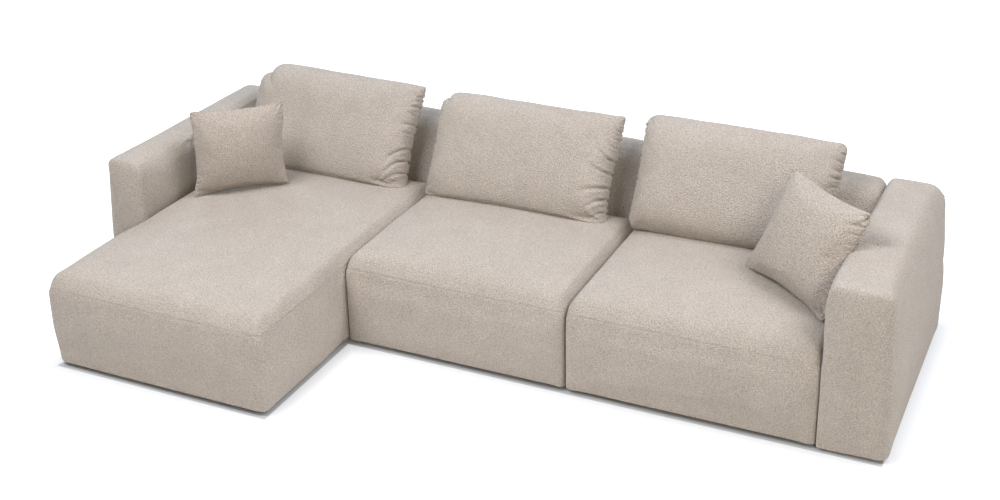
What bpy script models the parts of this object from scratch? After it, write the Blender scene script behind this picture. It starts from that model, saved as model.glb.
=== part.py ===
# Modular corner sofa: a chaise module, a middle module and a right module, with loose cushions.
# Metres, +Z up, the seats face -Y. The origin is on the floor under the middle of the whole sofa.
import math

import bmesh
import bpy
import numpy as np
from mathutils import Matrix, Vector

for old in list(bpy.data.objects):
    bpy.data.objects.remove(old, do_unlink=True)

# Overall layout, each module measured between its side faces
CHAISE_WIDTH = 1.02
MIDDLE_WIDTH = 1.00
RIGHT_WIDTH = 1.02
LEFT_ARM_WIDTH = 0.20
RIGHT_ARM_WIDTH = 0.25
CHAISE_LEAD = 0.645  # how far the chaise reaches in front of the other seats
SEAT_DEPTH = 0.85
BACK_DEPTH = 0.28
BACK_SLOPE = math.radians(26.0)

# Heights of the upholstered faces at their edges, and how far they swell
FLOOR_GAP = 0.018
SEAT_TOP = 0.41
BACK_TOP = 0.665
ARM_TOP = 0.675
SEAT_CROWN = 0.036
TOP_CROWN = 0.014
FACE_SWELL = 0.018
ARM_SIDE_SWELL = 0.012
SWELL_REACH = 0.12  # how far in from a face its swelling has faded
ARM_INNER_SWELL = 0.020
ARM_SWELL_FOOT = 0.020  # how far below the seat's edge the arm's inner swelling starts
CHAISE_SIDE_SWELL = 0.040
CHAISE_INNER_SWELL = 0.016
ARM_PINCH_Y = 0.42
ARM_PINCH_DEPTH = 0.018
ARM_PINCH_REACH = 0.022  # how far along the arm the pinch draws the fabric in
ARM_TOP_LEAN = 0.016
ARM_END_REACH = 0.050  # how far past its ends the arm's swelling would run out

# Edge roundings
SEAT_FRONT_ROUND = 0.065
SEAT_SIDE_ROUND = 0.035
SEAT_REAR_ROUND = 0.025
CORNER_ROUND = 0.032
FRONT_EDGE_SHARE = 0.6  # of the full rounding, on the upright edges below the top
HEM_ROUND = 0.012
BACK_LIP_ROUND = 0.055
BACK_END_ROUND = 0.040
ARM_OUTER_ROUND = 0.090
ARM_INNER_ROUND = 0.034
ARM_TOP_ROUND = 0.050
ARM_REAR_ROUND = 0.080

# Inside the upholstery
WALL = 0.025  # fabric with its wadding
ARM_TOP_WALL = 0.035
JOIN = 0.0003  # the gap left where two pieces touch
SOFT_GAP = 0.0006  # the gap left where soft faces rest on each other
BOARD = 0.022
FRAME_BOTTOM = 0.026
FRAME_TOP = 0.236
CROSS_RAIL_DROP = 0.070
GUSSET = 0.085
STRAP_WIDTH = 0.070
STRAP_THICKNESS = 0.0025
STRAP_MARGIN = 0.002
STRAPS_ACROSS = 4
STRAPS_ALONG = 4
CHAISE_STRAPS_ALONG = 6
FOAM_ROUND = 0.012
BACK_FOAM = 0.040
DUST_COVER = 0.0015
GLIDE_RADIUS = 0.022
GLIDE_TAPER = 0.004
GLIDE_INSET = 0.050
GLIDE_SIDES = 16

# Connectors that hold two modules together, and bolts that hold an arm
CONNECTOR_WIDTH = 0.060
CONNECTOR_HEIGHT = 0.048
CONNECTOR_PLATE = 0.003
CONNECTOR_Z = 0.130
CONNECTOR_INSET = 0.160  # from the seat's front and rear
CONNECTOR_MOUTH = 0.002  # how far the jaws stay behind the seam
TONGUE_THICKNESS = 0.006
TONGUE_REACH = 0.016  # how far the tongue passes the seam
JAW_THICKNESS = 0.004
JAW_CLEARANCE = 0.0003
POCKET_MARGIN = 0.006
BOLT_RADIUS = 0.004
BOLT_HEAD_RADIUS = 0.0085
BOLT_HEAD_THICKNESS = 0.006
BOLT_INSET = 0.150  # from the seat's front and rear
BOLT_SIDES = 12
NUT_SIDES = 6
BOLT_Z = 0.130

# Back cushions
CUSHION_WIDTH = 0.870
CUSHION_BELOW = 0.290  # from the cushion's middle down to its lower seam, along the lean
CUSHION_ABOVE = 0.238
CUSHION_THICKNESS = 0.215
CUSHION_DRAW_IN = (0.02, -0.03)  # of the half width and the half height, where negative swells
CUSHION_CORNER = 0.018
CUSHION_FULLNESS = (8, 4)  # powers of the crown across and up: higher is fuller near the seam
CUSHION_CELLS = (14, 12)
CUSHION_LEAN = math.radians(28.0)
CUSHION_REST = 0.015  # how far the cushion's middle is in front of the seat's rear
CUSHION_MIDDLE_Z = 0.645
CUSHION_SHIFTS = {"chaise": -0.015, "middle": -0.040, "right": -0.075}

# Throw pillows
PILLOW_WIDTH = 0.425
PILLOW_THICKNESS = 0.150
PILLOW_DRAW_IN = (0.07, 0.06)
PILLOW_CORNER = 0.004
PILLOW_FULLNESS = (2.4, 2.4)
PILLOW_CELLS = (12, 12)
LEFT_PILLOW_HEIGHT = 0.425
RIGHT_PILLOW_HEIGHT = 0.425
LEFT_PILLOW_PLACE = (0.282, 0.356, 0.639)  # middle of the pillow, from the chaise's left side
LEFT_PILLOW_TURN = math.radians(42.0)
LEFT_PILLOW_LEAN = math.radians(1.0)
RIGHT_PILLOW_PLACE = (-0.176, 0.446, 0.620)  # middle of the pillow, from the right arm's inner side
RIGHT_PILLOW_TURN = math.radians(-35.0)
RIGHT_PILLOW_LEAN = math.radians(29.0)
RIGHT_PILLOW_ROLL = math.radians(5.0)
PILLOW_ARM_GAP = 0.006

CHAISE_X = 0.0
MIDDLE_X = CHAISE_WIDTH
RIGHT_X = MIDDLE_X + MIDDLE_WIDTH
RIGHT_END_X = RIGHT_X + RIGHT_WIDTH
REAR_Y = SEAT_DEPTH + BACK_DEPTH
SOFA_CENTRE = Vector(
    (
        (RIGHT_END_X + RIGHT_ARM_WIDTH - LEFT_ARM_WIDTH) / 2,
        (REAR_Y - CHAISE_LEAD) / 2,
        0.0,
    )
)
FOAM_TOP = SEAT_TOP - WALL
CUSHION_MIDDLE_Y = SEAT_DEPTH - CUSHION_REST
CONNECTOR_YS = (CONNECTOR_INSET, SEAT_DEPTH - CONNECTOR_INSET)
BOLT_YS = (BOLT_INSET, SEAT_DEPTH - BOLT_INSET)
FAR = 2 * WALL  # how far a cutter runs past the face it opens


def make_material(name, colour, roughness, metallic=0.0):
    material = bpy.data.materials.new(name)
    material.use_nodes = True
    shader = material.node_tree.nodes["Principled BSDF"]
    shader.inputs["Base Color"].default_value = (*colour, 1.0)
    shader.inputs["Roughness"].default_value = roughness
    shader.inputs["Metallic"].default_value = metallic
    material.diffuse_color = (*colour, 1.0)
    return material


FINISHES = {
    "cover": ((0.47, 0.41, 0.35), 0.95, 0.0),
    "pillow": ((0.44, 0.38, 0.33), 0.95, 0.0),
    "timber": ((0.52, 0.36, 0.20), 0.70, 0.0),
    "foam": ((0.85, 0.78, 0.55), 0.90, 0.0),
    "webbing": ((0.10, 0.10, 0.11), 0.80, 0.0),
    "dust_cloth": ((0.03, 0.03, 0.03), 0.95, 0.0),
    "glide": ((0.02, 0.02, 0.02), 0.45, 0.0),
    "steel": ((0.55, 0.56, 0.58), 0.35, 1.0),
}


def add_object(name, mesh, parent, finish):
    """Every sub-part gets its own material, named after it."""
    thing = bpy.data.objects.new(name, mesh)
    bpy.context.scene.collection.objects.link(thing)
    thing.parent = parent
    colour, roughness, metallic = FINISHES[finish]
    mesh.materials.append(make_material(f"{name}_{finish}", colour, roughness, metallic))
    return thing


def finish_mesh(name, shape):
    mesh = bpy.data.meshes.new(name)
    bmesh.ops.recalc_face_normals(shape, faces=shape.faces)
    shape.to_mesh(mesh)
    shape.free()
    return mesh


def shade_round(thing, angle=40.0):
    thing.data.shade_smooth()
    thing.data.set_sharp_from_angle(angle=math.radians(angle))


def place(name, x, y=0.0, z=0.0):
    """An empty at a sub-assembly's own corner, measured from the chaise's left side."""
    empty = bpy.data.objects.new(name, None)
    bpy.context.scene.collection.objects.link(empty)
    empty.location = Vector((x, y, z)) - SOFA_CENTRE
    return empty


def prism_mesh(name, outline, start, end, axis):
    """A flat outline, given on the other two axes in order, pushed from start to end along an axis."""
    shape = bmesh.new()
    others = [k for k in range(3) if k != axis]
    corners = []
    for a, b in outline:
        point = [0.0, 0.0, 0.0]
        point[others[0]] = a
        point[others[1]] = b
        point[axis] = start
        corners.append(shape.verts.new(point))
    face = shape.faces.new(corners)
    pushed = bmesh.ops.extrude_face_region(shape, geom=[face])["geom"]
    for vert in pushed:
        if isinstance(vert, bmesh.types.BMVert):
            vert.co[axis] = end
    return finish_mesh(name, shape)


def box_mesh(name, low, high):
    outline = [(low[0], low[1]), (high[0], low[1]), (high[0], high[1]), (low[0], high[1])]
    return prism_mesh(name, outline, low[2], high[2], 2)


def round_mesh(name, radius_low, radius_high, start, end, axis, at, sides):
    """A straight or tapered round bar along an axis, through the point at."""
    shape = bmesh.new()
    turn = {0: Matrix.Rotation(math.pi / 2, 4, "Y"), 2: Matrix.Identity(4)}[axis]
    middle = Vector(at)
    middle[axis] = (start + end) / 2
    bmesh.ops.create_cone(
        shape,
        cap_ends=True,
        segments=sides,
        radius1=radius_low,
        radius2=radius_high,
        depth=end - start,
        matrix=Matrix.Translation(middle) @ turn,
    )
    return finish_mesh(name, shape)


def boolean(target, mesh, operation):
    """Cuts or joins with a hidden helper that stays beside the part."""
    helper = bpy.data.objects.new(f"{target.name}_{operation.lower()}_{len(target.modifiers)}", mesh)
    bpy.context.scene.collection.objects.link(helper)
    helper.parent = target.parent
    helper.hide_render = True
    helper.display_type = "WIRE"
    step = target.modifiers.new(operation.title(), "BOOLEAN")
    step.operation = operation
    step.solver = "EXACT"
    step.object = helper
    return helper


def cut_box(target, low, high):
    return boolean(target, box_mesh(f"{target.name}_opening", low, high), "DIFFERENCE")


def bell(value, low, high):
    """1 in the middle of a span and 0 at both of its ends."""
    t = min(max((value - low) / (high - low), 0.0), 1.0)
    return 1.0 - (2.0 * t - 1.0) ** 2


def ramp(value, low, high):
    """A smooth rise from 0 to 1."""
    t = min(max((value - low) / (high - low), 0.0), 1.0)
    return t * t * (3.0 - 2.0 * t)


def stations(low, high, round_low, round_high, inner):
    """Grid lines along one axis: two through each rounded edge and the rest even between them."""
    bend = 1.0 - math.tan(math.pi / 8)
    start = [low, low + round_low * bend]
    end = [high - round_high * bend, high]
    return start + list(inner) + end


def even(low, high, count):
    return [low + (high - low) * k / count for k in range(count + 1)]


def lattice_surface(shape, lines):
    """The skin of a box whose grid lines are given for each axis."""
    counts = [len(line) for line in lines]
    corners = {}

    def corner(index):
        if index not in corners:
            corners[index] = shape.verts.new([lines[k][index[k]] for k in range(3)])
        return corners[index]

    for axis in range(3):
        a, b = [k for k in range(3) if k != axis]
        for side in (0, counts[axis] - 1):
            for i in range(counts[a] - 1):
                for j in range(counts[b] - 1):
                    ring = []
                    for di, dj in ((0, 0), (1, 0), (1, 1), (0, 1)):
                        index = [0, 0, 0]
                        index[axis] = side
                        index[a] = i + di
                        index[b] = j + dj
                        ring.append(corner(tuple(index)))
                    shape.faces.new(ring)


def soft_block(name, low, high, rounds, inner, swell, rounded=lambda p: 1.0):
    """A box with rounded edges. rounds gives the low and high rounding along x, y and z.
    inner gives the grid lines between the rounded edges, and swell moves each point of the skin.
    rounded tells how much of the rounding a point takes, from 0 to 1."""
    shape = bmesh.new()
    lines = [stations(low[k], high[k], *rounds[k], inner[k]) for k in range(3)]
    lattice_surface(shape, lines)
    for vert in shape.verts:
        reach = []
        for k in range(3):
            below = max(0.0, (low[k] + rounds[k][0] - vert.co[k]) / rounds[k][0])
            above = max(0.0, (vert.co[k] - high[k] + rounds[k][1]) / rounds[k][1])
            reach.append(above - below)
        reach = Vector(reach)
        reach.normalize()
        share = rounded(vert.co)
        for k in range(3):
            core = min(max(vert.co[k], low[k] + rounds[k][0]), high[k] - rounds[k][1])
            radius = rounds[k][1] if reach[k] > 0 else rounds[k][0]
            vert.co[k] += share * (core + reach[k] * radius - vert.co[k])
        vert.co = swell(vert.co.copy())
    return finish_mesh(name, shape)


def seat_crown(x, y, width, front):
    """Height of the seat's top at a point, in the module's own x and y."""
    return SEAT_TOP + SEAT_CROWN * math.sqrt(bell(x, 0.0, width) * bell(y, front, SEAT_DEPTH))


def make_seat_cover(module, parent, width, front, arm):
    """The upholstered seat box, open below, behind and beside its arm where frames meet."""
    low = (JOIN / 2, front, FLOOR_GAP)
    high = (width - JOIN / 2, SEAT_DEPTH - JOIN / 2, SEAT_TOP)
    x_lines = even(low[0] + SEAT_SIDE_ROUND, high[0] - SEAT_SIDE_ROUND, 6)
    y_lines = even(SEAT_FRONT_ROUND, high[1] - SEAT_REAR_ROUND, 5)
    if front < 0:
        y_lines = even(front + SEAT_FRONT_ROUND, 0.0, 4) + y_lines
    z_lines = even(FLOOR_GAP + HEM_ROUND, SEAT_TOP - SEAT_FRONT_ROUND, 3)
    rounds = (
        (SEAT_SIDE_ROUND, SEAT_SIDE_ROUND),
        (CORNER_ROUND, SEAT_REAR_ROUND),
        (HEM_ROUND, SEAT_FRONT_ROUND),
    )

    def swell(p):
        lifted = ramp(p.z, SEAT_TOP / 2, SEAT_TOP)
        p.z += lifted * (seat_crown(p.x, p.y, width, front) - SEAT_TOP)
        forward = 1.0 - ramp(p.y, front, front + SWELL_REACH)
        p.y -= FACE_SWELL * forward * bell(p.z, FLOOR_GAP, SEAT_TOP) * bell(p.x, 0.0, width) ** 0.5
        if front < 0:
            free_side = bell(p.z, FLOOR_GAP, SEAT_TOP) * bell(p.y, front, 0.0)
            p.x -= CHAISE_SIDE_SWELL * free_side * (1.0 - ramp(p.x, 0.0, SWELL_REACH))
            p.x += CHAISE_INNER_SWELL * free_side * ramp(p.x, width - SWELL_REACH, width)
        return p

    def rounded(p):
        """The front's upright edges are tighter than the top's. The rear ones stay square below the top."""
        if p.y > SEAT_DEPTH / 2:
            return ramp(p.z, SEAT_TOP / 2, SEAT_TOP - SEAT_FRONT_ROUND)
        near_top = ramp(p.z, SEAT_TOP - 2 * SEAT_FRONT_ROUND, SEAT_TOP - SEAT_FRONT_ROUND)
        return FRONT_EDGE_SHARE + (1.0 - FRONT_EDGE_SHARE) * near_top

    lines = (x_lines, y_lines, z_lines)
    mesh = soft_block(f"{module}_seat_cover", low, high, rounds, lines, swell, rounded)
    cover = add_object(f"{module}_seat_cover", mesh, parent, "cover")
    inside_low = (WALL, front + WALL, FLOOR_GAP - FAR)
    inside_high = (width - WALL, SEAT_DEPTH - WALL, FOAM_TOP)
    cut_box(cover, inside_low, inside_high)
    frame_low = (WALL, front + WALL, FLOOR_GAP - FAR)
    frame_high = (width - WALL, SEAT_DEPTH + FAR, FRAME_TOP + JOIN)
    cut_box(cover, frame_low, frame_high)
    if arm == "left":
        cut_box(cover, (-FAR, WALL, FLOOR_GAP - FAR), (2 * WALL, SEAT_DEPTH + FAR, FRAME_TOP + JOIN))
    if arm == "right":
        side_low = (width - 2 * WALL, WALL, FLOOR_GAP - FAR)
        cut_box(cover, side_low, (width + FAR, SEAT_DEPTH + FAR, FRAME_TOP + JOIN))
    shade_round(cover)
    return cover


def frame_span(width, arm):
    """Where a module's seat frame starts and ends across: flush with the side that carries an arm."""
    start = JOIN / 2 if arm == "left" else WALL + JOIN
    end = width - JOIN / 2 if arm == "right" else width - WALL - JOIN
    return start, end


def octagon(x0, x1, y0, y1, corner):
    return [
        (x0 + corner, y0),
        (x1 - corner, y0),
        (x1, y0 + corner),
        (x1, y1 - corner),
        (x1 - corner, y1),
        (x0 + corner, y1),
        (x0, y1 - corner),
        (x0, y0 + corner),
    ]


def make_seat_frame(module, parent, width, front, arm):
    """A box of boards with corner blocks, and cross rails set low so the straps can sink."""
    start, end = frame_span(width, arm)
    low_y = front + WALL + JOIN
    high_y = SEAT_DEPTH - JOIN / 2
    if front < 0 and arm == "left":
        outline = [
            (WALL + JOIN, low_y),
            (end, low_y),
            (end, high_y),
            (start, high_y),
            (start, WALL + JOIN),
            (WALL + JOIN, WALL + JOIN),
        ]
        mesh = prism_mesh(f"{module}_seat_frame", outline, FRAME_BOTTOM, FRAME_TOP, 2)
    else:
        mesh = box_mesh(f"{module}_seat_frame", (start, low_y, FRAME_BOTTOM), (end, high_y, FRAME_TOP))
    frame = add_object(f"{module}_seat_frame", mesh, parent, "timber")
    bays = 3 if front < 0 else 2
    inner_low = low_y + BOARD
    inner_high = high_y - BOARD
    pitch = (inner_high - inner_low + BOARD) / bays
    bay_x0 = max(start, WALL + JOIN) + BOARD
    for bay in range(bays):
        y0 = inner_low + bay * pitch
        y1 = inner_high if bay == bays - 1 else y0 + pitch - BOARD
        outline = octagon(bay_x0, end - BOARD, y0, y1, GUSSET)
        hole = prism_mesh(f"{module}_bay", outline, FRAME_BOTTOM - FAR, FRAME_TOP + FAR, 2)
        boolean(frame, hole, "DIFFERENCE")
    cut_box(
        frame,
        (bay_x0, inner_low, FRAME_TOP - CROSS_RAIL_DROP),
        (end - BOARD, inner_high, FRAME_TOP + FAR),
    )
    return frame


def make_straps(module, parent, width, front):
    """Elastic straps stapled over the frame, woven into one flat deck."""
    x0 = WALL + JOIN + STRAP_MARGIN
    x1 = width - WALL - JOIN - STRAP_MARGIN
    y0 = front + WALL + JOIN + STRAP_MARGIN
    y1 = SEAT_DEPTH - WALL - STRAP_MARGIN
    along = CHAISE_STRAPS_ALONG if front < 0 else STRAPS_ALONG

    def lines(low, high, count):
        gap = (high - low - count * STRAP_WIDTH) / (count + 1)
        edges = [low]
        for k in range(count):
            edge = low + gap * (k + 1) + STRAP_WIDTH * k
            edges += [edge, edge + STRAP_WIDTH]
        return edges + [high]

    xs = lines(x0 + BOARD, x1 - BOARD, STRAPS_ACROSS)
    ys = lines(y0 + BOARD, y1 - BOARD, along)
    shape = bmesh.new()
    xs = [x0] + xs + [x1]
    ys = [y0] + ys + [y1]
    grid = [[shape.verts.new((x, y, FRAME_TOP + JOIN)) for y in ys] for x in xs]
    for i in range(len(xs) - 1):
        for j in range(len(ys) - 1):
            rim = i in (0, len(xs) - 2) or j in (0, len(ys) - 2)
            strap = i % 2 == 0 or j % 2 == 0
            if rim or strap:
                shape.faces.new([grid[i][j], grid[i + 1][j], grid[i + 1][j + 1], grid[i][j + 1]])
    faces = list(shape.faces)
    pushed = bmesh.ops.extrude_face_region(shape, geom=faces)["geom"]
    moved = [v for v in pushed if isinstance(v, bmesh.types.BMVert)]
    bmesh.ops.translate(shape, verts=moved, vec=(0.0, 0.0, STRAP_THICKNESS))
    return add_object(f"{module}_webbing", finish_mesh(f"{module}_webbing", shape), parent, "webbing")


def make_seat_foam(module, parent, width, front):
    low = (WALL + JOIN, front + WALL + JOIN, FRAME_TOP + STRAP_THICKNESS + 2 * JOIN)
    high = (width - WALL - JOIN, SEAT_DEPTH - WALL - JOIN, FOAM_TOP - JOIN)
    rounds = ((FOAM_ROUND, FOAM_ROUND),) * 3
    inner = [(low[k] + FOAM_ROUND, high[k] - FOAM_ROUND) for k in range(3)]
    mesh = soft_block(f"{module}_seat_foam", low, high, rounds, inner, lambda p: p)
    return add_object(f"{module}_seat_foam", mesh, parent, "foam")


def make_dust_cover(module, parent, width, front):
    top = FRAME_BOTTOM - JOIN
    low = (WALL + 2 * JOIN, front + WALL + 2 * JOIN, top - DUST_COVER)
    high = (width - WALL - 2 * JOIN, REAR_Y - WALL - 2 * JOIN, top)
    mesh = box_mesh(f"{module}_dust_cover", low, high)
    return add_object(f"{module}_dust_cover", mesh, parent, "dust_cloth")


def slope_y(z):
    """The back rest's sloping front face, at a height above the seat."""
    return SEAT_DEPTH + max(0.0, z - SEAT_TOP) * math.tan(BACK_SLOPE)


def make_back_cover(module, parent, width):
    low = (JOIN / 2, SEAT_DEPTH + JOIN / 2, FLOOR_GAP)
    high = (width - JOIN / 2, REAR_Y, BACK_TOP)
    x_lines = even(low[0] + BACK_END_ROUND, high[0] - BACK_END_ROUND, 5)
    y_lines = even(low[1] + BACK_LIP_ROUND, high[1] - BACK_LIP_ROUND, 2)
    z_lines = [FLOOR_GAP + HEM_ROUND, SEAT_TOP / 2]
    z_lines += even(SEAT_TOP, BACK_TOP - BACK_LIP_ROUND, 2)
    rounds = (
        (BACK_END_ROUND, BACK_END_ROUND),
        (BACK_LIP_ROUND, CORNER_ROUND),
        (HEM_ROUND, BACK_LIP_ROUND),
    )

    def swell(p):
        forward = (REAR_Y - p.y) / BACK_DEPTH
        p.y += forward * (slope_y(p.z) - SEAT_DEPTH)
        p.z += TOP_CROWN * ramp(p.z, SEAT_TOP, BACK_TOP) * bell(p.x, 0.0, width) ** 0.5
        rearward = ramp(p.y, REAR_Y - SWELL_REACH, REAR_Y)
        p.y += FACE_SWELL * rearward * bell(p.z, FLOOR_GAP, BACK_TOP) * bell(p.x, 0.0, width) ** 0.5
        return p

    def rounded(p):
        """The front stays square below the seat's top, where it stands against the seat."""
        return 1.0 if p.y > REAR_Y - BACK_DEPTH / 2 else ramp(p.z, SEAT_TOP / 2, SEAT_TOP)

    lines = (x_lines, y_lines, z_lines)
    mesh = soft_block(f"{module}_back_cover", low, high, rounds, lines, swell, rounded)
    cover = add_object(f"{module}_back_cover", mesh, parent, "cover")
    inside = prism_mesh(f"{module}_back_inside", back_profile(0.0), WALL, width - WALL, 0)
    boolean(cover, inside, "DIFFERENCE")
    shade_round(cover)
    return cover


def back_profile(shrink):
    """Side outline of the room inside a back cover, or of what fills it, less shrink all round."""
    run = math.tan(BACK_SLOPE)
    front_y = SEAT_DEPTH + WALL + shrink
    top_z = BACK_TOP - WALL - shrink
    base_z = FRAME_TOP + JOIN - shrink
    rear_y = REAR_Y - WALL - shrink
    open_y = SEAT_DEPTH - FAR if shrink == 0.0 else SEAT_DEPTH + JOIN / 2
    bottom_z = FLOOR_GAP - FAR if shrink == 0.0 else FRAME_BOTTOM
    return [
        (open_y, bottom_z),
        (rear_y, bottom_z),
        (rear_y, top_z),
        (front_y + (top_z - SEAT_TOP) * run, top_z),
        (front_y, SEAT_TOP),
        (front_y, base_z),
        (open_y, base_z),
    ]


def make_back_frame(module, parent, width):
    """Ply gables joined by rails, with the front set back for the foam that lies on it."""
    run = math.tan(BACK_SLOPE)
    profile = back_profile(JOIN)
    top_z = profile[2][1]
    set_back = BACK_FOAM + 2 * JOIN
    outline = profile[:3]
    outline.append((profile[3][0] + set_back, top_z))
    outline.append((profile[4][0] + set_back, SEAT_TOP))
    outline.append((profile[5][0] + set_back, profile[5][1]))
    outline.append(profile[6])
    x0 = WALL + JOIN
    x1 = width - WALL - JOIN
    mesh = prism_mesh(f"{module}_back_frame", outline, x0, x1, 0)
    frame = add_object(f"{module}_back_frame", mesh, parent, "timber")
    front_y = profile[5][0] + set_back
    rear_y = profile[1][0]
    bay = (x1 - x0 - 3 * BOARD) / 2
    for k in range(2):
        start = x0 + BOARD + k * (bay + BOARD)
        rear_low = (start, front_y + BOARD, FRAME_BOTTOM + 3 * BOARD)
        cut_box(frame, rear_low, (start + bay, REAR_Y + FAR, SEAT_TOP - BOARD))
        upper = [
            (front_y + BOARD - FAR, SEAT_TOP + BOARD),
            (REAR_Y + FAR, SEAT_TOP + BOARD),
            (REAR_Y + FAR, top_z - BOARD),
            (front_y + BOARD - FAR, top_z - BOARD),
        ]
        boolean(frame, prism_mesh(f"{module}_upper_bay", upper, start, start + bay, 0), "DIFFERENCE")
        foot_low = (start, SEAT_DEPTH + BOARD, FRAME_BOTTOM - FAR)
        cut_box(frame, foot_low, (start + bay, rear_y - BOARD, FRAME_BOTTOM + 2 * BOARD))
    slab = [
        (profile[5][0], profile[5][1] + 2 * JOIN),
        (profile[5][0] + BACK_FOAM, profile[5][1] + 2 * JOIN),
        (profile[5][0] + BACK_FOAM, SEAT_TOP),
        (profile[5][0] + BACK_FOAM + (top_z - SEAT_TOP) * run, top_z),
        (profile[5][0] + (top_z - SEAT_TOP) * run, top_z),
        (profile[5][0], SEAT_TOP),
    ]
    foam = prism_mesh(f"{module}_back_foam", slab, x0, x1, 0)
    add_object(f"{module}_back_foam", foam, parent, "foam")
    return frame


def arm_outline(width, flip, shrink):
    """The room inside an arm seen from above, or what fills it, with the rear outer corner cut off."""
    inner = WALL + shrink
    outer = width - WALL - shrink
    rear = REAR_Y - WALL - shrink
    cut = ARM_OUTER_ROUND / 2
    points = [(inner, WALL + shrink), (outer, WALL + shrink), (outer, rear - cut)]
    points += [(outer - cut, rear), (inner, rear)]
    return [(x * flip, y) for x, y in points]


def make_arm(side, parent, width):
    """One arm in its own frame: x runs out from the seat, so the left arm is built mirrored."""
    flip = -1.0 if side == "left" else 1.0
    low = (JOIN / 2, 0.0, FLOOR_GAP)
    high = (width, REAR_Y, ARM_TOP)
    x_lines = even(ARM_INNER_ROUND, width - ARM_OUTER_ROUND, 2)
    pinch = [ARM_PINCH_Y + share * ARM_PINCH_REACH for share in (-2.3, -0.9, 0.0, 0.9, 2.3)]
    rear_line = REAR_Y - ARM_REAR_ROUND
    y_lines = [CORNER_ROUND, ARM_PINCH_Y / 2, *pinch, (ARM_PINCH_Y + rear_line) / 2, rear_line]
    foot_of_swell = SEAT_TOP - ARM_SWELL_FOOT
    z_lines = [FLOOR_GAP + HEM_ROUND, SEAT_TOP / 2, foot_of_swell]
    z_lines += even(foot_of_swell, ARM_TOP - ARM_TOP_ROUND, 3)[1:]
    rounds = (
        (ARM_INNER_ROUND, ARM_OUTER_ROUND),
        (CORNER_ROUND, ARM_REAR_ROUND),
        (HEM_ROUND, ARM_TOP_ROUND),
    )

    def swell(p):
        out = p.x / width
        tall = bell(p.z, FLOOR_GAP, ARM_TOP)
        above = bell(p.z, foot_of_swell, ARM_TOP + ARM_INNER_ROUND)
        front_part = bell(p.y, -ARM_END_REACH, ARM_PINCH_Y) if p.y < ARM_PINCH_Y else 0.0
        near_pinch = math.exp(-(((p.y - ARM_PINCH_Y) / ARM_PINCH_REACH) ** 2))
        top = ramp(p.z, SEAT_TOP, ARM_TOP)
        forward = 1.0 - ramp(p.y, 0.0, SWELL_REACH)
        rearward = ramp(p.y, REAR_Y - SWELL_REACH, REAR_Y)
        along = bell(p.y, -ARM_END_REACH, REAR_Y + ARM_END_REACH)
        across = bell(p.x, 0.0, width) ** 0.5
        p.z += TOP_CROWN * top * across * along ** 0.5
        p.z -= ARM_PINCH_DEPTH * top * near_pinch * (1.0 - ramp(out, 0.2, 0.75))
        p.y -= FACE_SWELL * forward * tall * across
        p.y += FACE_SWELL * rearward * tall * across
        p.x += ARM_SIDE_SWELL * out * tall * along
        p.x -= ARM_TOP_LEAN * out * ramp(p.z, 0.45 * ARM_TOP, ARM_TOP)
        inner = 1.0 - ramp(out, 0.0, 0.5)
        p.x -= ARM_INNER_SWELL * inner * above * front_part
        p.x += ARM_PINCH_DEPTH * inner * above * near_pinch
        p.x *= flip
        return p

    mesh = soft_block(f"{side}_arm_cover", low, high, rounds, (x_lines, y_lines, z_lines), swell)
    cover = add_object(f"{side}_arm_cover", mesh, parent, "cover")

    def arm_box(x0, y0, z0, x1, y1, z1):
        ends = sorted((x0 * flip, x1 * flip))
        return (ends[0], y0, z0), (ends[1], y1, z1)

    top = ARM_TOP - ARM_TOP_WALL
    inside = prism_mesh(f"{side}_arm_inside", arm_outline(width, flip, 0.0), FLOOR_GAP - FAR, top, 2)
    boolean(cover, inside, "DIFFERENCE")
    cut_box(cover, *arm_box(-FAR, WALL, FLOOR_GAP - FAR, 2 * WALL, REAR_Y - WALL, FRAME_TOP + JOIN))
    shade_round(cover)

    mesh = prism_mesh(f"{side}_arm_frame", arm_outline(width, flip, JOIN), FRAME_BOTTOM, top - JOIN, 2)
    frame = add_object(f"{side}_arm_frame", mesh, parent, "timber")
    step = arm_box(
        JOIN / 2, WALL + JOIN, FRAME_BOTTOM, 1.5 * WALL, REAR_Y - WALL - JOIN, FRAME_TOP - JOIN
    )
    boolean(frame, box_mesh(f"{side}_arm_foot_board", *step), "UNION")
    inner_y = (WALL + JOIN + BOARD, REAR_Y - WALL - JOIN - BOARD)
    middle_y = sum(inner_y) / 2
    for y0, y1 in ((inner_y[0], middle_y - BOARD / 2), (middle_y + BOARD / 2, inner_y[1])):
        cell = arm_box(
            WALL + JOIN + BOARD, y0, FRAME_BOTTOM + BOARD, width + FAR, y1, top - JOIN - BOARD
        )
        cut_box(frame, *cell)
    return cover, frame


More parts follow.
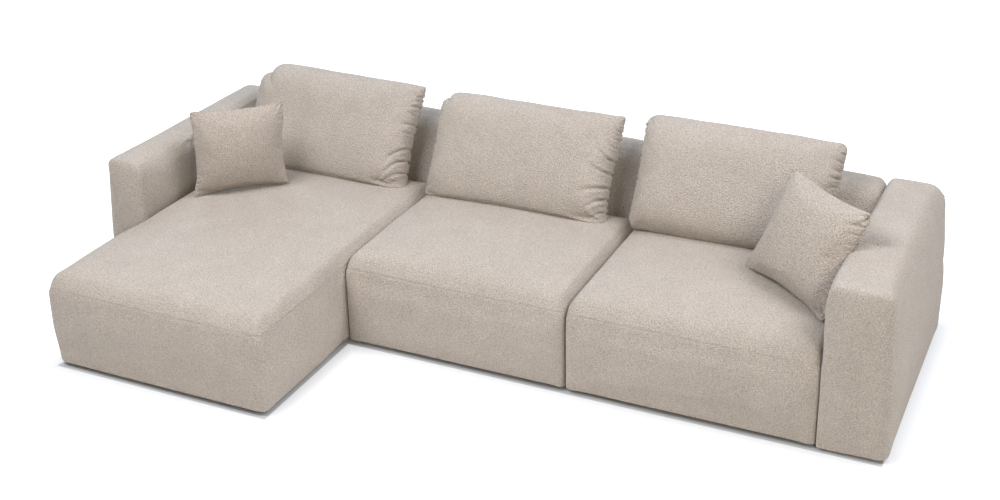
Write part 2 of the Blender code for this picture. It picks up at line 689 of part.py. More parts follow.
def make_arm_bolts(side, parent, arm_frame, seat_frame, interface_x):
    """Each bolt starts inside the seat's side board and ends in its nut inside the arm."""
    flip = -1.0 if side == "left" else 1.0
    hole = BOLT_RADIUS + JOIN
    reach = 2 * (WALL + BOARD)
    sunk = BOLT_HEAD_THICKNESS / 2
    seat_face = -BOARD - JOIN - SEAT_BOLT_INSET[side]
    arm_face = WALL + JOIN + BOARD + JOIN
    for number, y in enumerate(BOLT_YS, 1):
        at = (0.0, y, BOLT_Z)
        holes = round_mesh("bolt_hole", hole, hole, -reach, reach, 0, at, BOLT_SIDES)
        boolean(arm_frame, holes, "DIFFERENCE")
        through = boolean(seat_frame, holes.copy(), "DIFFERENCE")
        through.location.x = interface_x
        name = f"{side}_arm_bolt_{number}"
        ends = sorted(((seat_face - sunk) * flip, (arm_face + sunk) * flip))
        shank = round_mesh(name, BOLT_RADIUS, BOLT_RADIUS, *ends, 0, at, BOLT_SIDES)
        bolt = add_object(name, shank, parent, "steel")
        for face, away in ((seat_face, -1.0), (arm_face, 1.0)):
            ends = sorted((face * flip, (face + away * BOLT_HEAD_THICKNESS) * flip))
            head = round_mesh(name, BOLT_HEAD_RADIUS, BOLT_HEAD_RADIUS, *ends, 0, at, NUT_SIDES)
            boolean(bolt, head, "UNION")


# The chaise's side board stands in line with its front part, one wall in from the arm
SEAT_BOLT_INSET = {"left": WALL + JOIN, "right": JOIN / 2}


def make_connector(left, right, left_parent, right_parent, seam_x, number, y):
    """A socket on the left module's side board and a tongue on the right one's, meeting in a pocket."""
    half = CONNECTOR_WIDTH / 2
    half_z = CONNECTOR_HEIGHT / 2
    slot = TONGUE_THICKNESS / 2 + JAW_CLEARANCE
    back = JOIN - WALL
    mouth = -CONNECTOR_MOUTH
    plate = back + CONNECTOR_PLATE
    outline = [
        (back, CONNECTOR_Z - half_z),
        (plate, CONNECTOR_Z - half_z),
        (plate, CONNECTOR_Z - slot - JAW_THICKNESS),
        (mouth, CONNECTOR_Z - slot - JAW_THICKNESS),
        (mouth, CONNECTOR_Z - slot),
        (plate, CONNECTOR_Z - slot),
        (plate, CONNECTOR_Z + slot),
        (mouth, CONNECTOR_Z + slot),
        (mouth, CONNECTOR_Z + slot + JAW_THICKNESS),
        (plate, CONNECTOR_Z + slot + JAW_THICKNESS),
        (plate, CONNECTOR_Z + half_z),
        (back, CONNECTOR_Z + half_z),
    ]
    left_width = seam_x - left_parent["start"]
    socket_outline = [(x + left_width, z) for x, z in outline]
    name = f"{left}_connector_socket_{number}"
    socket = prism_mesh(name, socket_outline, y - half, y + half, 1)
    add_object(name, socket, left_parent["empty"], "steel")
    rear = WALL - JOIN
    plate = rear - CONNECTOR_PLATE
    half_tongue = TONGUE_THICKNESS / 2
    outline = [
        (rear, CONNECTOR_Z - half_z),
        (rear, CONNECTOR_Z + half_z),
        (plate, CONNECTOR_Z + half_z),
        (plate, CONNECTOR_Z + half_tongue),
        (-TONGUE_REACH, CONNECTOR_Z + half_tongue),
        (-TONGUE_REACH, CONNECTOR_Z - half_tongue),
        (plate, CONNECTOR_Z - half_tongue),
        (plate, CONNECTOR_Z - half_z),
    ]
    name = f"{right}_connector_tongue_{number}"
    tongue = prism_mesh(name, outline, y - half, y + half, 1)
    add_object(name, tongue, right_parent["empty"], "steel")
    pocket_y = half + POCKET_MARGIN
    pocket_z = half_z + POCKET_MARGIN
    for cover, x in ((left_parent["cover"], left_width), (right_parent["cover"], 0.0)):
        low = (x - 1.5 * WALL, y - pocket_y, CONNECTOR_Z - pocket_z)
        cut_box(cover, low, (x + 1.5 * WALL, y + pocket_y, CONNECTOR_Z + pocket_z))


def make_glide(name, parent, x, y, top):
    mesh = round_mesh(name, GLIDE_RADIUS - GLIDE_TAPER, GLIDE_RADIUS, 0.0, top, 2, (x, y, 0), GLIDE_SIDES)
    return add_object(name, mesh, parent, "glide")


def pillow_sheet(name, size, draw_in, corner, power, cells, settle):
    """A stuffed cushion: two crowned faces that meet at a seam, with its sides drawn in.
    Local x runs across, local z up the cushion and local -y out of its front.
    size holds the width, the heights below and above the origin, and the thickness."""
    width, below, above, thickness = size
    shape = bmesh.new()
    across = [math.sin(math.pi / 2 * t) for t in np.linspace(-1.0, 1.0, cells[0] + 1)]
    upward = [math.sin(math.pi / 2 * t) for t in np.linspace(-1.0, 1.0, cells[1] + 1)]

    def point(a, b, face):
        half_up = above if b > 0 else below
        blunt = corner * abs(a * b) ** 8
        x = 0.5 * width * a * (1.0 - draw_in[0] * (1.0 - b * b) * a * a) - math.copysign(blunt, a)
        z = half_up * b * (1.0 - draw_in[1] * (1.0 - a * a) * b * b) - math.copysign(blunt, b)
        fullness = (1.0 - abs(a) ** power[0]) * (1.0 - abs(b) ** power[1])
        return settle(Vector((x, -face * 0.5 * thickness * math.sqrt(max(fullness, 0.0)), z)))

    sheets = []
    for face in (1.0, -1.0):
        rows = []
        for i, a in enumerate(across):
            row = []
            for j, b in enumerate(upward):
                edge = i in (0, cells[0]) or j in (0, cells[1])
                shared = sheets[0][i][j] if edge and sheets else None
                row.append(shared or shape.verts.new(point(a, b, 0.0 if edge else face)))
            rows.append(row)
        sheets.append(rows)
    for turn, rows in zip((1, -1), sheets):
        for i in range(cells[0]):
            for j in range(cells[1]):
                ring = [rows[i][j], rows[i + 1][j], rows[i + 1][j + 1], rows[i][j + 1]]
                shape.faces.new(ring[::turn])
    mesh = bpy.data.meshes.new(name)
    shape.to_mesh(mesh)
    shape.free()
    return mesh


def push_out(point, low, high, radius, gap):
    """Moves a point out of a bar that runs along y, whose x and z edges are rounded."""
    middle = Vector(((low[0] + high[0]) / 2, (low[1] + high[1]) / 2))
    half = Vector(((high[0] - low[0]) / 2 - radius, (high[1] - low[1]) / 2 - radius))
    from_middle = Vector((point.x, point.z)) - middle
    sign = Vector((math.copysign(1.0, from_middle.x), math.copysign(1.0, from_middle.y)))
    past = Vector((abs(from_middle.x) - half.x, abs(from_middle.y) - half.y))
    if past.x > 0 and past.y > 0:
        direction = past.normalized()
        depth = radius + gap - past.length
    elif past.x > past.y:
        direction = Vector((1.0, 0.0))
        depth = radius + gap - past.x
    else:
        direction = Vector((0.0, 1.0))
        depth = radius + gap - past.y
    if depth > 0:
        point.x += depth * direction.x * sign.x
        point.z += depth * direction.y * sign.y
    return point


def make_back_cushion(module, parent, width, front):
    middle_x = width / 2 + CUSHION_SHIFTS[module]
    lean = Matrix.Rotation(-CUSHION_LEAN, 3, "X")
    run = math.tan(BACK_SLOPE)

    def settle(p):
        p = lean @ p + Vector((middle_x, CUSHION_MIDDLE_Y, CUSHION_MIDDLE_Z))
        p.z = max(p.z, seat_crown(p.x, min(p.y, SEAT_DEPTH), width, front) + SOFT_GAP)
        p.y = min(p.y, SEAT_DEPTH + (p.z - SEAT_TOP) * run - SOFT_GAP / math.cos(BACK_SLOPE))
        return p - Vector((middle_x, CUSHION_MIDDLE_Y, CUSHION_MIDDLE_Z))

    name = f"{module}_back_cushion"
    size = (CUSHION_WIDTH, CUSHION_BELOW, CUSHION_ABOVE, CUSHION_THICKNESS)
    mesh = pillow_sheet(
        name, size, CUSHION_DRAW_IN, CUSHION_CORNER, CUSHION_FULLNESS, CUSHION_CELLS, settle
    )
    cushion = add_object(name, mesh, parent, "cover")
    cushion.location = (middle_x, CUSHION_MIDDLE_Y, CUSHION_MIDDLE_Z)
    shade_round(cushion, 60.0)
    return cushion


def make_throw_pillow(name, parent, height, middle, turn, lean, roll, width, front, arm_bar):
    spin = Matrix.Rotation(turn, 3, "Z") @ Matrix.Rotation(-lean, 3, "X") @ Matrix.Rotation(roll, 3, "Y")
    middle = Vector(middle)

    def settle(p):
        p = push_out(spin @ p + middle, *arm_bar, PILLOW_ARM_GAP)
        p.z = max(p.z, seat_crown(p.x, p.y, width, front) + SOFT_GAP)
        return p - middle

    size = (PILLOW_WIDTH, height / 2, height / 2, PILLOW_THICKNESS)
    mesh = pillow_sheet(
        name, size, PILLOW_DRAW_IN, PILLOW_CORNER, PILLOW_FULLNESS, PILLOW_CELLS, settle
    )
    pillow = add_object(name, mesh, parent, "pillow")
    pillow.location = middle
    shade_round(pillow, 60.0)
    return pillow


MODULES = (
    ("chaise", CHAISE_X, CHAISE_WIDTH, -CHAISE_LEAD, "left"),
    ("middle", MIDDLE_X, MIDDLE_WIDTH, 0.0, None),
    ("right", RIGHT_X, RIGHT_WIDTH, 0.0, "right"),
)

built = {}
for module, start, width, front, arm in MODULES:
    empty = place(f"{module}_module", start)
    cover = make_seat_cover(module, empty, width, front, arm)
    frame = make_seat_frame(module, empty, width, front, arm)
    make_straps(module, empty, width, front)
    make_seat_foam(module, empty, width, front)
    make_dust_cover(module, empty, width, front)
    make_back_cover(module, empty, width)
    make_back_frame(module, empty, width)
    make_back_cushion(module, empty, width, front)
    built[module] = {"empty": empty, "cover": cover, "frame": frame, "start": start}

left_arm = place("left_arm", CHAISE_X)
right_arm = place("right_arm", RIGHT_END_X)
left_arm.parent = built["chaise"]["empty"]
left_arm.location = (0.0, 0.0, 0.0)
right_arm.parent = built["right"]["empty"]
right_arm.location = (RIGHT_WIDTH, 0.0, 0.0)
_, left_frame = make_arm("left", left_arm, LEFT_ARM_WIDTH)
_, right_frame = make_arm("right", right_arm, RIGHT_ARM_WIDTH)
make_arm_bolts("left", left_arm, left_frame, built["chaise"]["frame"], 0.0)
make_arm_bolts("right", right_arm, right_frame, built["right"]["frame"], RIGHT_WIDTH)

for number, y in enumerate(CONNECTOR_YS, 1):
    make_connector("chaise", "middle", built["chaise"], built["middle"], MIDDLE_X, number, y)
    make_connector("middle", "right", built["middle"], built["right"], RIGHT_X, number, y)

# The arms carry the glides of the outer corners, except at the front of the chaise
GLIDE_TOP = FRAME_BOTTOM - JOIN
FREE_CORNERS = {
    "chaise": ("front_left", "front_right", "rear_right"),
    "middle": ("front_left", "front_right", "rear_left", "rear_right"),
    "right": ("front_left", "rear_left"),
}
for module, start, width, front, arm in MODULES:
    for corner in FREE_CORNERS[module]:
        x = GLIDE_INSET if corner.endswith("left") else width - GLIDE_INSET
        y = front + GLIDE_INSET if corner.startswith("front") else REAR_Y - GLIDE_INSET
        under_cloth = GLIDE_TOP - DUST_COVER - JOIN
        make_glide(f"{module}_glide_{corner}", built[module]["empty"], x, y, under_cloth)
for side, parent, width in (("left", left_arm, -LEFT_ARM_WIDTH), ("right", right_arm, RIGHT_ARM_WIDTH)):
    for end, y in (("front", GLIDE_INSET), ("rear", REAR_Y - GLIDE_INSET)):
        make_glide(f"{side}_arm_glide_{end}", parent, width / 2, y, GLIDE_TOP)

left_bar = ((-LEFT_ARM_WIDTH, FLOOR_GAP), (ARM_INNER_SWELL, ARM_TOP + TOP_CROWN), ARM_INNER_ROUND)
make_throw_pillow(
    "left_throw_pillow",
    built["chaise"]["empty"],
    LEFT_PILLOW_HEIGHT,
    LEFT_PILLOW_PLACE,
    LEFT_PILLOW_TURN,
    LEFT_PILLOW_LEAN,
    0.0,
    CHAISE_WIDTH,
    -CHAISE_LEAD,
    left_bar,
)
right_bar = (
    (RIGHT_WIDTH - ARM_INNER_SWELL, FLOOR_GAP),
    (RIGHT_WIDTH + RIGHT_ARM_WIDTH, ARM_TOP + TOP_CROWN),
    ARM_INNER_ROUND,
)
make_throw_pillow(
    "right_throw_pillow",
    built["right"]["empty"],
    RIGHT_PILLOW_HEIGHT,
    (RIGHT_WIDTH + RIGHT_PILLOW_PLACE[0], RIGHT_PILLOW_PLACE[1], RIGHT_PILLOW_PLACE[2]),
    RIGHT_PILLOW_TURN,
    RIGHT_PILLOW_LEAN,
    RIGHT_PILLOW_ROLL,
    RIGHT_WIDTH,
    0.0,
    right_bar,
)
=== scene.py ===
# The looks of the modular corner sofa: upholstery, loose cushions, fabric and the parts inside.
# Metres, +Z up, the seats face -Y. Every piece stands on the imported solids' places.
import math

import bpy
import numpy as np
from mathutils import Matrix, Vector, noise
from mathutils.bvhtree import BVHTree


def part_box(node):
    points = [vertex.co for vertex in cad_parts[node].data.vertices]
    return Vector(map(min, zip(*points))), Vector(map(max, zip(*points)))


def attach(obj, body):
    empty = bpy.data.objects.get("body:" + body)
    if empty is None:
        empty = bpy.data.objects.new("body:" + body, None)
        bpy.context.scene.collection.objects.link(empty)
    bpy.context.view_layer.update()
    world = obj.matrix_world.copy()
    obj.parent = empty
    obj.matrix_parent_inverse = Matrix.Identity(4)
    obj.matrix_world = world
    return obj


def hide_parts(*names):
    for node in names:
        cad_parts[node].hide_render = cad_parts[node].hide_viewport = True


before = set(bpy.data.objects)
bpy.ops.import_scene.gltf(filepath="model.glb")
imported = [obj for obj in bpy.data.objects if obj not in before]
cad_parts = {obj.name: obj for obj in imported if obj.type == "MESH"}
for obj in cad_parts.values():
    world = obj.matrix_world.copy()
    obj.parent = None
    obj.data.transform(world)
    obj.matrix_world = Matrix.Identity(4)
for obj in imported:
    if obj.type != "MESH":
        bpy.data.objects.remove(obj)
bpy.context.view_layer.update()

# Heights and depths that all modules share
FLOOR_GAP = 0.013
SEAT_TOP = 0.41
SEAT_CROWN = 0.036
BACK_TOP = 0.665
ARM_TOP = 0.675
TOP_CROWN = 0.014
FACE_SWELL = 0.018
WALL = 0.025
JOIN = 0.0003
FRAME_TOP = 0.236
DUST_INSET = WALL + 2 * JOIN  # a dust cover's edges lie this far inside its module
BACK_SLOPE = math.tan(math.radians(26.0))
SEAM_Z = 0.360  # the seam between a seat's top panel and its side panel
CONNECTOR_Z = 0.130
SKIN_GAP = 0.0006  # between a cushion's cloth and what it lies against
REST_GAP = 0.0008  # between it and its seat before the cloth is swelled
BACK_GAP = 0.0010  # and between it and the back rest
WADDING = 0.010  # the least cloth and wadding over an arm's timber frame
PINCH_IN, PINCH_DOWN = 0.020, 0.024  # how far an arm's pinch draws its edge away from the seat, and down
BULGE = 0.017  # how far the part in front of the pinch stands over the seat
ARM_ENDS = (0.016, 0.070)  # how an arm's top is rounded at its front and its rear
POCKET = (0.036, 0.030)  # half the width and height of a connector's pocket
CONNECTOR_INSET = 0.160

FOAM_TOP = SEAT_TOP - WALL

MODULES = ("chaise", "middle", "right")
ENDS = {"left": "chaise", "right": "right"}  # the module that carries each arm and each throw pillow


class Span:
    """The four upright planes that a module fills."""

    def __init__(self, module):
        low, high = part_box(f"{module}_dust_cover")
        self.left, self.front = low.x - DUST_INSET, low.y - DUST_INSET
        self.right, self.rear = high.x + DUST_INSET, high.y + DUST_INSET


SPANS = {module: Span(module) for module in MODULES}
CREASE_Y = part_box("middle_back_cover")[0].y - JOIN / 2
SEAT_FRONT_Y = SPANS["middle"].front
REAR_Y = SPANS["middle"].rear
# Each arm's inner side, its width and the way that it faces out along X
ARM_BOXES = {"left": (SPANS["chaise"].left, 0.20, -1.0), "right": (SPANS["right"].right, 0.25, 1.0)}
# Each arm's rounding at its inner and outer top edge, how far its top stands off the common height, and how
# far behind its front it is pinched in, and how hard
ARM_SHAPES = {"left": (0.066, 0.070, -0.014, 0.395, 0.5), "right": (0.034, 0.075, 0.015, 0.42, 1.0)}


# Small functions of one value

def ramp(value, low, high):
    t = np.clip((value - low) / (high - low), 0.0, 1.0)
    return t * t * (3.0 - 2.0 * t)


def bell(value, low, high):
    t = np.clip((value - low) / (high - low), 0.0, 1.0)
    return 1.0 - (2.0 * t - 1.0) ** 2


def hump(value, middle, width):
    return np.exp(-(((value - middle) / width) ** 2))


def uneven(piece, size, seed):
    """A smooth unevenness between about -1 and 1 at a piece's points, with hollows about size apart."""
    shift = Vector((seed * 7.3, seed * 3.1, seed * 5.7))
    return np.array([noise.noise(Vector(p) / size + shift) for p in coordinates(piece)])


def rounding(depth, radius):
    """How far a rounded edge has drawn in at a depth behind the end of a block."""
    reach = np.clip(radius - depth, 0.0, radius)
    return radius - np.sqrt(radius * radius - reach * reach)


def rotation(degrees, axis):
    return Matrix.Rotation(math.radians(degrees), 3, axis)


# Meshes

def grid_line(low, high, round_low, round_high, step, extra=()):
    """Grid lines along one axis: close together through the rounded edges and at the seams."""
    turn = np.tan(np.radians(np.linspace(45.0, 0.0, 5)))
    inner_low = low + round_low
    inner_high = high - round_high
    count = max(1, int(round((inner_high - inner_low) / step)))
    parts = [low + round_low * (1.0 - turn), np.linspace(inner_low, inner_high, count + 1)]
    parts += [high - round_high * (1.0 - turn[::-1]), np.array(extra, float)]
    line = np.sort(np.concatenate(parts))
    line = line[np.append(True, np.diff(line) > 0.0008)]
    line[-1] = high
    return line


def quads(grid):
    """The faces between the neighbouring points of a flat grid of their numbers."""
    return np.stack([grid[:-1, :-1], grid[1:, :-1], grid[1:, 1:], grid[:-1, 1:]], -1).reshape(-1, 4)


def lattice(lines):
    """Points and outward faces of the skin of a box whose grid lines are given for each axis."""
    counts = [len(line) for line in lines]
    index = np.arange(np.prod(counts)).reshape(counts)
    rings = []
    for axis in range(3):
        for side in (0, counts[axis] - 1):
            ring = quads(index.take(side, axis=axis))
            turned = (side == 0) != (axis == 1)
            rings.append(ring[:, ::-1] if turned else ring)
    used, faces = np.unique(np.concatenate(rings), return_inverse=True)
    x, y, z = np.unravel_index(used, counts)
    points = np.stack([lines[0][x], lines[1][y], lines[2][z]], -1)
    return points, faces.reshape(-1, 4)


def block(low, high, rounds, step, extra=((), (), ())):
    """The skin of a box with grid lines about a step apart, and closer through its rounded edges."""
    return lattice([grid_line(low[k], high[k], *rounds[k], step, extra[k]) for k in range(3)])


def round_edges(points, low, high, rounds, share):
    """Moves the skin of a box onto its rounded edges. rounds holds a low and a high radius for each axis."""
    rounds = np.array(rounds, float)
    low, high = np.array(low), np.array(high)
    below = np.clip((low + rounds[:, 0] - points) / rounds[:, 0], 0.0, None)
    above = np.clip((points - high + rounds[:, 1]) / rounds[:, 1], 0.0, None)
    reach = above - below
    reach /= np.maximum(np.linalg.norm(reach, axis=1, keepdims=True), 1e-9)
    radius = np.where(reach > 0, rounds[:, 1], rounds[:, 0])
    core = np.clip(points, low + rounds[:, 0], high - rounds[:, 1])
    return points + share[:, None] * (core + reach * radius - points)


def put(name, data):
    thing = bpy.data.objects.new(name, data)
    bpy.context.scene.collection.objects.link(thing)
    return thing


def new_piece(name, points, faces, edges=()):
    mesh = bpy.data.meshes.new(name)
    mesh.from_pydata([tuple(p) for p in points], edges, [tuple(int(i) for i in f) for f in faces])
    mesh.update()
    return put(name, mesh)


def new_skin(name, points, faces, places):
    """A new piece that keeps each point's spot on the plain form, for the seams and folds that come later."""
    piece = new_piece(name, points, faces)
    kept = piece.data.attributes.new("place", "FLOAT_VECTOR", "POINT")
    kept.data.foreach_set("vector", places.ravel())
    return piece


def triples(items, label):
    flat = np.empty(len(items) * 3)
    items.foreach_get(label, flat)
    return flat.reshape(-1, 3)


def places(piece):
    return triples(piece.data.attributes["place"].data, "vector")


def coordinates(piece):
    return triples(piece.data.vertices, "co")


def normals(piece):
    return triples(piece.data.vertex_normals, "vector")


def set_coordinates(piece, points):
    piece.data.vertices.foreach_set("co", points.ravel())
    piece.data.update()


def press(piece, depth):
    """Presses a piece's skin in along its normals, by a depth for each point."""
    set_coordinates(piece, coordinates(piece) - normals(piece) * depth[:, None])


def bake(piece):
    """Turns a piece with its modifiers into a plain mesh."""
    evaluated = piece.evaluated_get(bpy.context.evaluated_depsgraph_get())
    mesh = bpy.data.meshes.new_from_object(evaluated)
    piece.modifiers.clear()
    piece.data = mesh
    return piece


def subdivide(piece):
    step = piece.modifiers.new("Rounder", "SUBSURF")
    step.levels = step.render_levels = 1
    return bake(piece)


def tree_of(*things):
    """Something to measure distances to, made from several objects' meshes."""
    points, faces = [], []
    for thing in things:
        base = len(points)
        points += [v.co.copy() for v in thing.data.vertices]
        faces += [[base + i for i in p.vertices] for p in thing.data.polygons]
    return BVHTree.FromPolygons(points, faces)


def near(tree, points, reach):
    """How far each point is from the tree's skin, up to reach."""
    found = (tree.find_nearest(Vector(p), reach) for p in points)
    return np.array([reach if hit[3] is None else hit[3] for hit in found])


def keep_out(piece, *others):
    """Moves a piece's points out of what it lies against."""
    tree = tree_of(*others)
    points = coordinates(piece)
    for number, point in enumerate(points):
        place, normal, _, _ = tree.find_nearest(Vector(point), 0.03)
        if place is not None and (Vector(point) - place).dot(normal) < SKIN_GAP:
            points[number] = np.array(place + normal * SKIN_GAP)
    set_coordinates(piece, points)


def box_cutter(low, high):
    return new_piece("cutter", *lattice(np.stack([low, high], 1)))


def profile_cutter(left, right, profile):
    """A bar from left to right. Its profile is a list of (y, z) that runs anticlockwise seen from +X."""
    count = len(profile)
    points = [(x, y, z) for x in (left, right) for y, z in profile]
    faces = [tuple(range(count))[::-1], tuple(range(count, 2 * count))]
    faces += [(k, (k + 1) % count, (k + 1) % count + count, k + count) for k in range(count)]
    return new_piece("cutter", points, faces)


def cut(piece, cutters):
    """Cuts closed forms out of a closed piece and takes them away."""
    for number, cutter in enumerate(cutters):
        step = piece.modifiers.new(f"Opening {number}", "BOOLEAN")
        step.operation = "DIFFERENCE"
        step.solver = "MANIFOLD"
        step.object = cutter
    bake(piece)
    for cutter in cutters:
        bpy.data.objects.remove(cutter)


def shade(piece, angle):
    piece.data.shade_smooth()
    piece.data.set_sharp_from_angle(angle=math.radians(angle))


# Cloth

waiting = []
CLOTH = {  # a thick cover over air: stiff to stretch and soft to bend
    "quality": 6, "mass": 0.3, "tension_stiffness": 20.0, "compression_stiffness": 8.0,
    "shear_stiffness": 5.0, "bending_stiffness": 0.4, "use_pressure": True,
}
SWELL = {  # the air pressure in each sort of piece, and the most that its skin moves
    "seat": (1.6, 0.006), "back": (1.2, 0.004), "arm": (1.4, 0.006),
    "cushion": (3.0, 0.014), "pillow": (3.0, 0.010),
}


def weigh(piece, name, weights):
    """Keeps each point's weight in a group, and gives back its name."""
    group = piece.vertex_groups.new(name=name)
    for number in np.flatnonzero(weights):
        group.add([int(number)], float(weights[number]), "REPLACE")
    return name


def let_swell(piece, neighbours, sort, seam=None, pull=0.0):
    """Notes a piece for the cloth run. Near its neighbours it stays as it is, and nowhere moves past its cap.
    seam holds each point's weight near a gathered seam, and pull the share by which the seam is shortened."""
    pressure, cap = SWELL[sort]
    start = coordinates(piece)
    free = ramp(near(tree_of(*neighbours), start, 0.05), 0.002, 0.035)
    waiting.append({"piece": piece, "start": start, "free": free, "cap": cap})
    settings = piece.modifiers.new("Cloth", "CLOTH").settings
    for label, value in CLOTH.items():
        setattr(settings, label, value)
    settings.uniform_pressure_force = pressure
    settings.effector_weights.gravity = 0.0
    settings.vertex_group_mass = weigh(piece, "held", free < 0.05)
    if seam is not None:
        settings.vertex_group_shrink = weigh(piece, "gathered", seam)
        settings.shrink_min = -0.012
        settings.shrink_max = pull


def run_cloth(frames=20):
    """Runs all the waiting pieces at once, then gives each its swollen shape as a plain mesh."""
    scene = bpy.context.scene
    for item in waiting:
        item["piece"].modifiers["Cloth"].point_cache.frame_end = frames
    for number in range(1, frames + 1):
        scene.frame_set(number)
    graph = bpy.context.evaluated_depsgraph_get()
    for item in waiting:
        swollen = item["piece"].evaluated_get(graph)
        item["end"] = triples(swollen.to_mesh().vertices, "co")
        swollen.to_mesh_clear()
    for item in waiting:
        move = item["end"] - item["start"]
        length = np.maximum(np.linalg.norm(move, axis=1, keepdims=True), 1e-9)
        move *= item["cap"] * np.tanh(length / item["cap"]) / length
        piece = item["piece"]
        piece.modifiers.clear()
        piece.vertex_groups.clear()
        set_coordinates(piece, item["start"] + move * item["free"][:, None])
    scene.frame_set(1)


# Upholstered blocks

def crown_height(x, y, span):
    return SEAT_TOP + SEAT_CROWN * np.sqrt(bell(x, span.left, span.right) * bell(y, span.front, CREASE_Y))


def make_seat(module):
    """A foam seat box: a rolled top panel above a side panel, with the seam between them."""
    span = SPANS[module]
    chaise = module == "chaise"
    low = (span.left + JOIN / 2, span.front, FLOOR_GAP)
    high = (span.right - JOIN / 2, CREASE_Y - JOIN / 2, SEAT_TOP)
    side_roll = 0.046 if chaise else 0.036
    rounds = ((side_roll, side_roll), (0.060, 0.025), (0.009, 0.080))
    seam_lines = [SEAM_Z + d for d in (-0.012, -0.006, -0.002, 0.002, 0.006, 0.012)]
    plain, faces = block(low, high, rounds, 0.020, ((), (), seam_lines))
    x, y, z = plain.T
    rear = y > (span.front + CREASE_Y) / 2
    upright = 0.55 + 0.45 * ramp(z, SEAM_Z - 0.03, SEAM_Z + 0.01)
    share = np.where(rear, ramp(z, SEAT_TOP / 2, SEAM_Z), upright)
    x, y, z = round_edges(plain, low, high, rounds, share).T
    along = bell(x, span.left, span.right)
    tall = bell(z, FLOOR_GAP, SEAT_TOP)
    z = z + ramp(z, SEAT_TOP / 2, SEAT_TOP) * (crown_height(x, y, span) - SEAT_TOP)
    forward = 1.0 - ramp(y, span.front, span.front + 0.12)
    y = y - FACE_SWELL * forward * (0.15 + 0.85 * tall) * np.sqrt(along)
    if chaise:
        free = 1.0 - ramp(y, SEAT_FRONT_Y - 0.22, SEAT_FRONT_Y - 0.005)
        left_side = 1.0 - ramp(x, span.left, span.left + 0.14)
        right_side = ramp(x, span.right - 0.12, span.right)
        x = x - (0.006 + 0.019 * ramp(z, FLOOR_GAP, 0.20)) * free * left_side
        x = x + (0.007 + 0.010 * tall) * free * right_side
    return new_skin(f"{module}_seat_upholstery", np.stack([x, y, z], -1), faces, plain)


def make_back_rest(module):
    """A firm block with a sloping face, a soft top edge and a flat rear."""
    span = SPANS[module]
    low = (span.left + JOIN / 2, CREASE_Y + JOIN / 2, FLOOR_GAP)
    high = (span.right - JOIN / 2, span.rear, BACK_TOP)
    rounds = ((0.040, 0.040), (0.055, 0.032), (0.012, 0.055))
    plain, faces = block(low, high, rounds, 0.025)
    rear = plain[:, 1] > span.rear - 0.14
    share = np.where(rear, 1.0, ramp(plain[:, 2], SEAT_TOP / 2, SEAT_TOP))
    x, y, z = round_edges(plain, low, high, rounds, share).T
    along = np.sqrt(bell(x, span.left, span.right))
    back = (span.rear - y) / (span.rear - CREASE_Y)
    y = y + back * np.maximum(0.0, z - SEAT_TOP) * BACK_SLOPE
    z = z + (TOP_CROWN + 0.003) * ramp(z, SEAT_TOP, BACK_TOP) * along
    y = y + FACE_SWELL * ramp(y, span.rear - 0.12, span.rear) * bell(z, FLOOR_GAP, BACK_TOP) * along
    return new_skin(f"{module}_back_rest_upholstery", np.stack([x, y, z], -1), faces, plain)


def round_top(x, z, left, right, top, inner, outer):
    """Rounds the two upper edges of a block's cross-section: inner at x = left, outer at x = right."""
    for side, radius, start in ((-1.0, inner, left), (1.0, outer, right)):
        across = np.clip((side * (x - start) + radius) / radius, 0.0, 1.0)
        upward = np.clip((z - top + radius) / radius, 0.0, 1.0)
        corner = (across > 0) & (upward > 0)
        pull = np.maximum(across, upward) / np.maximum(np.hypot(across, upward), 1e-9) - 1.0
        x = x + np.where(corner, side * across * radius * pull, 0.0)
        z = z + np.where(corner, upward * radius * pull, 0.0)
    return x, z


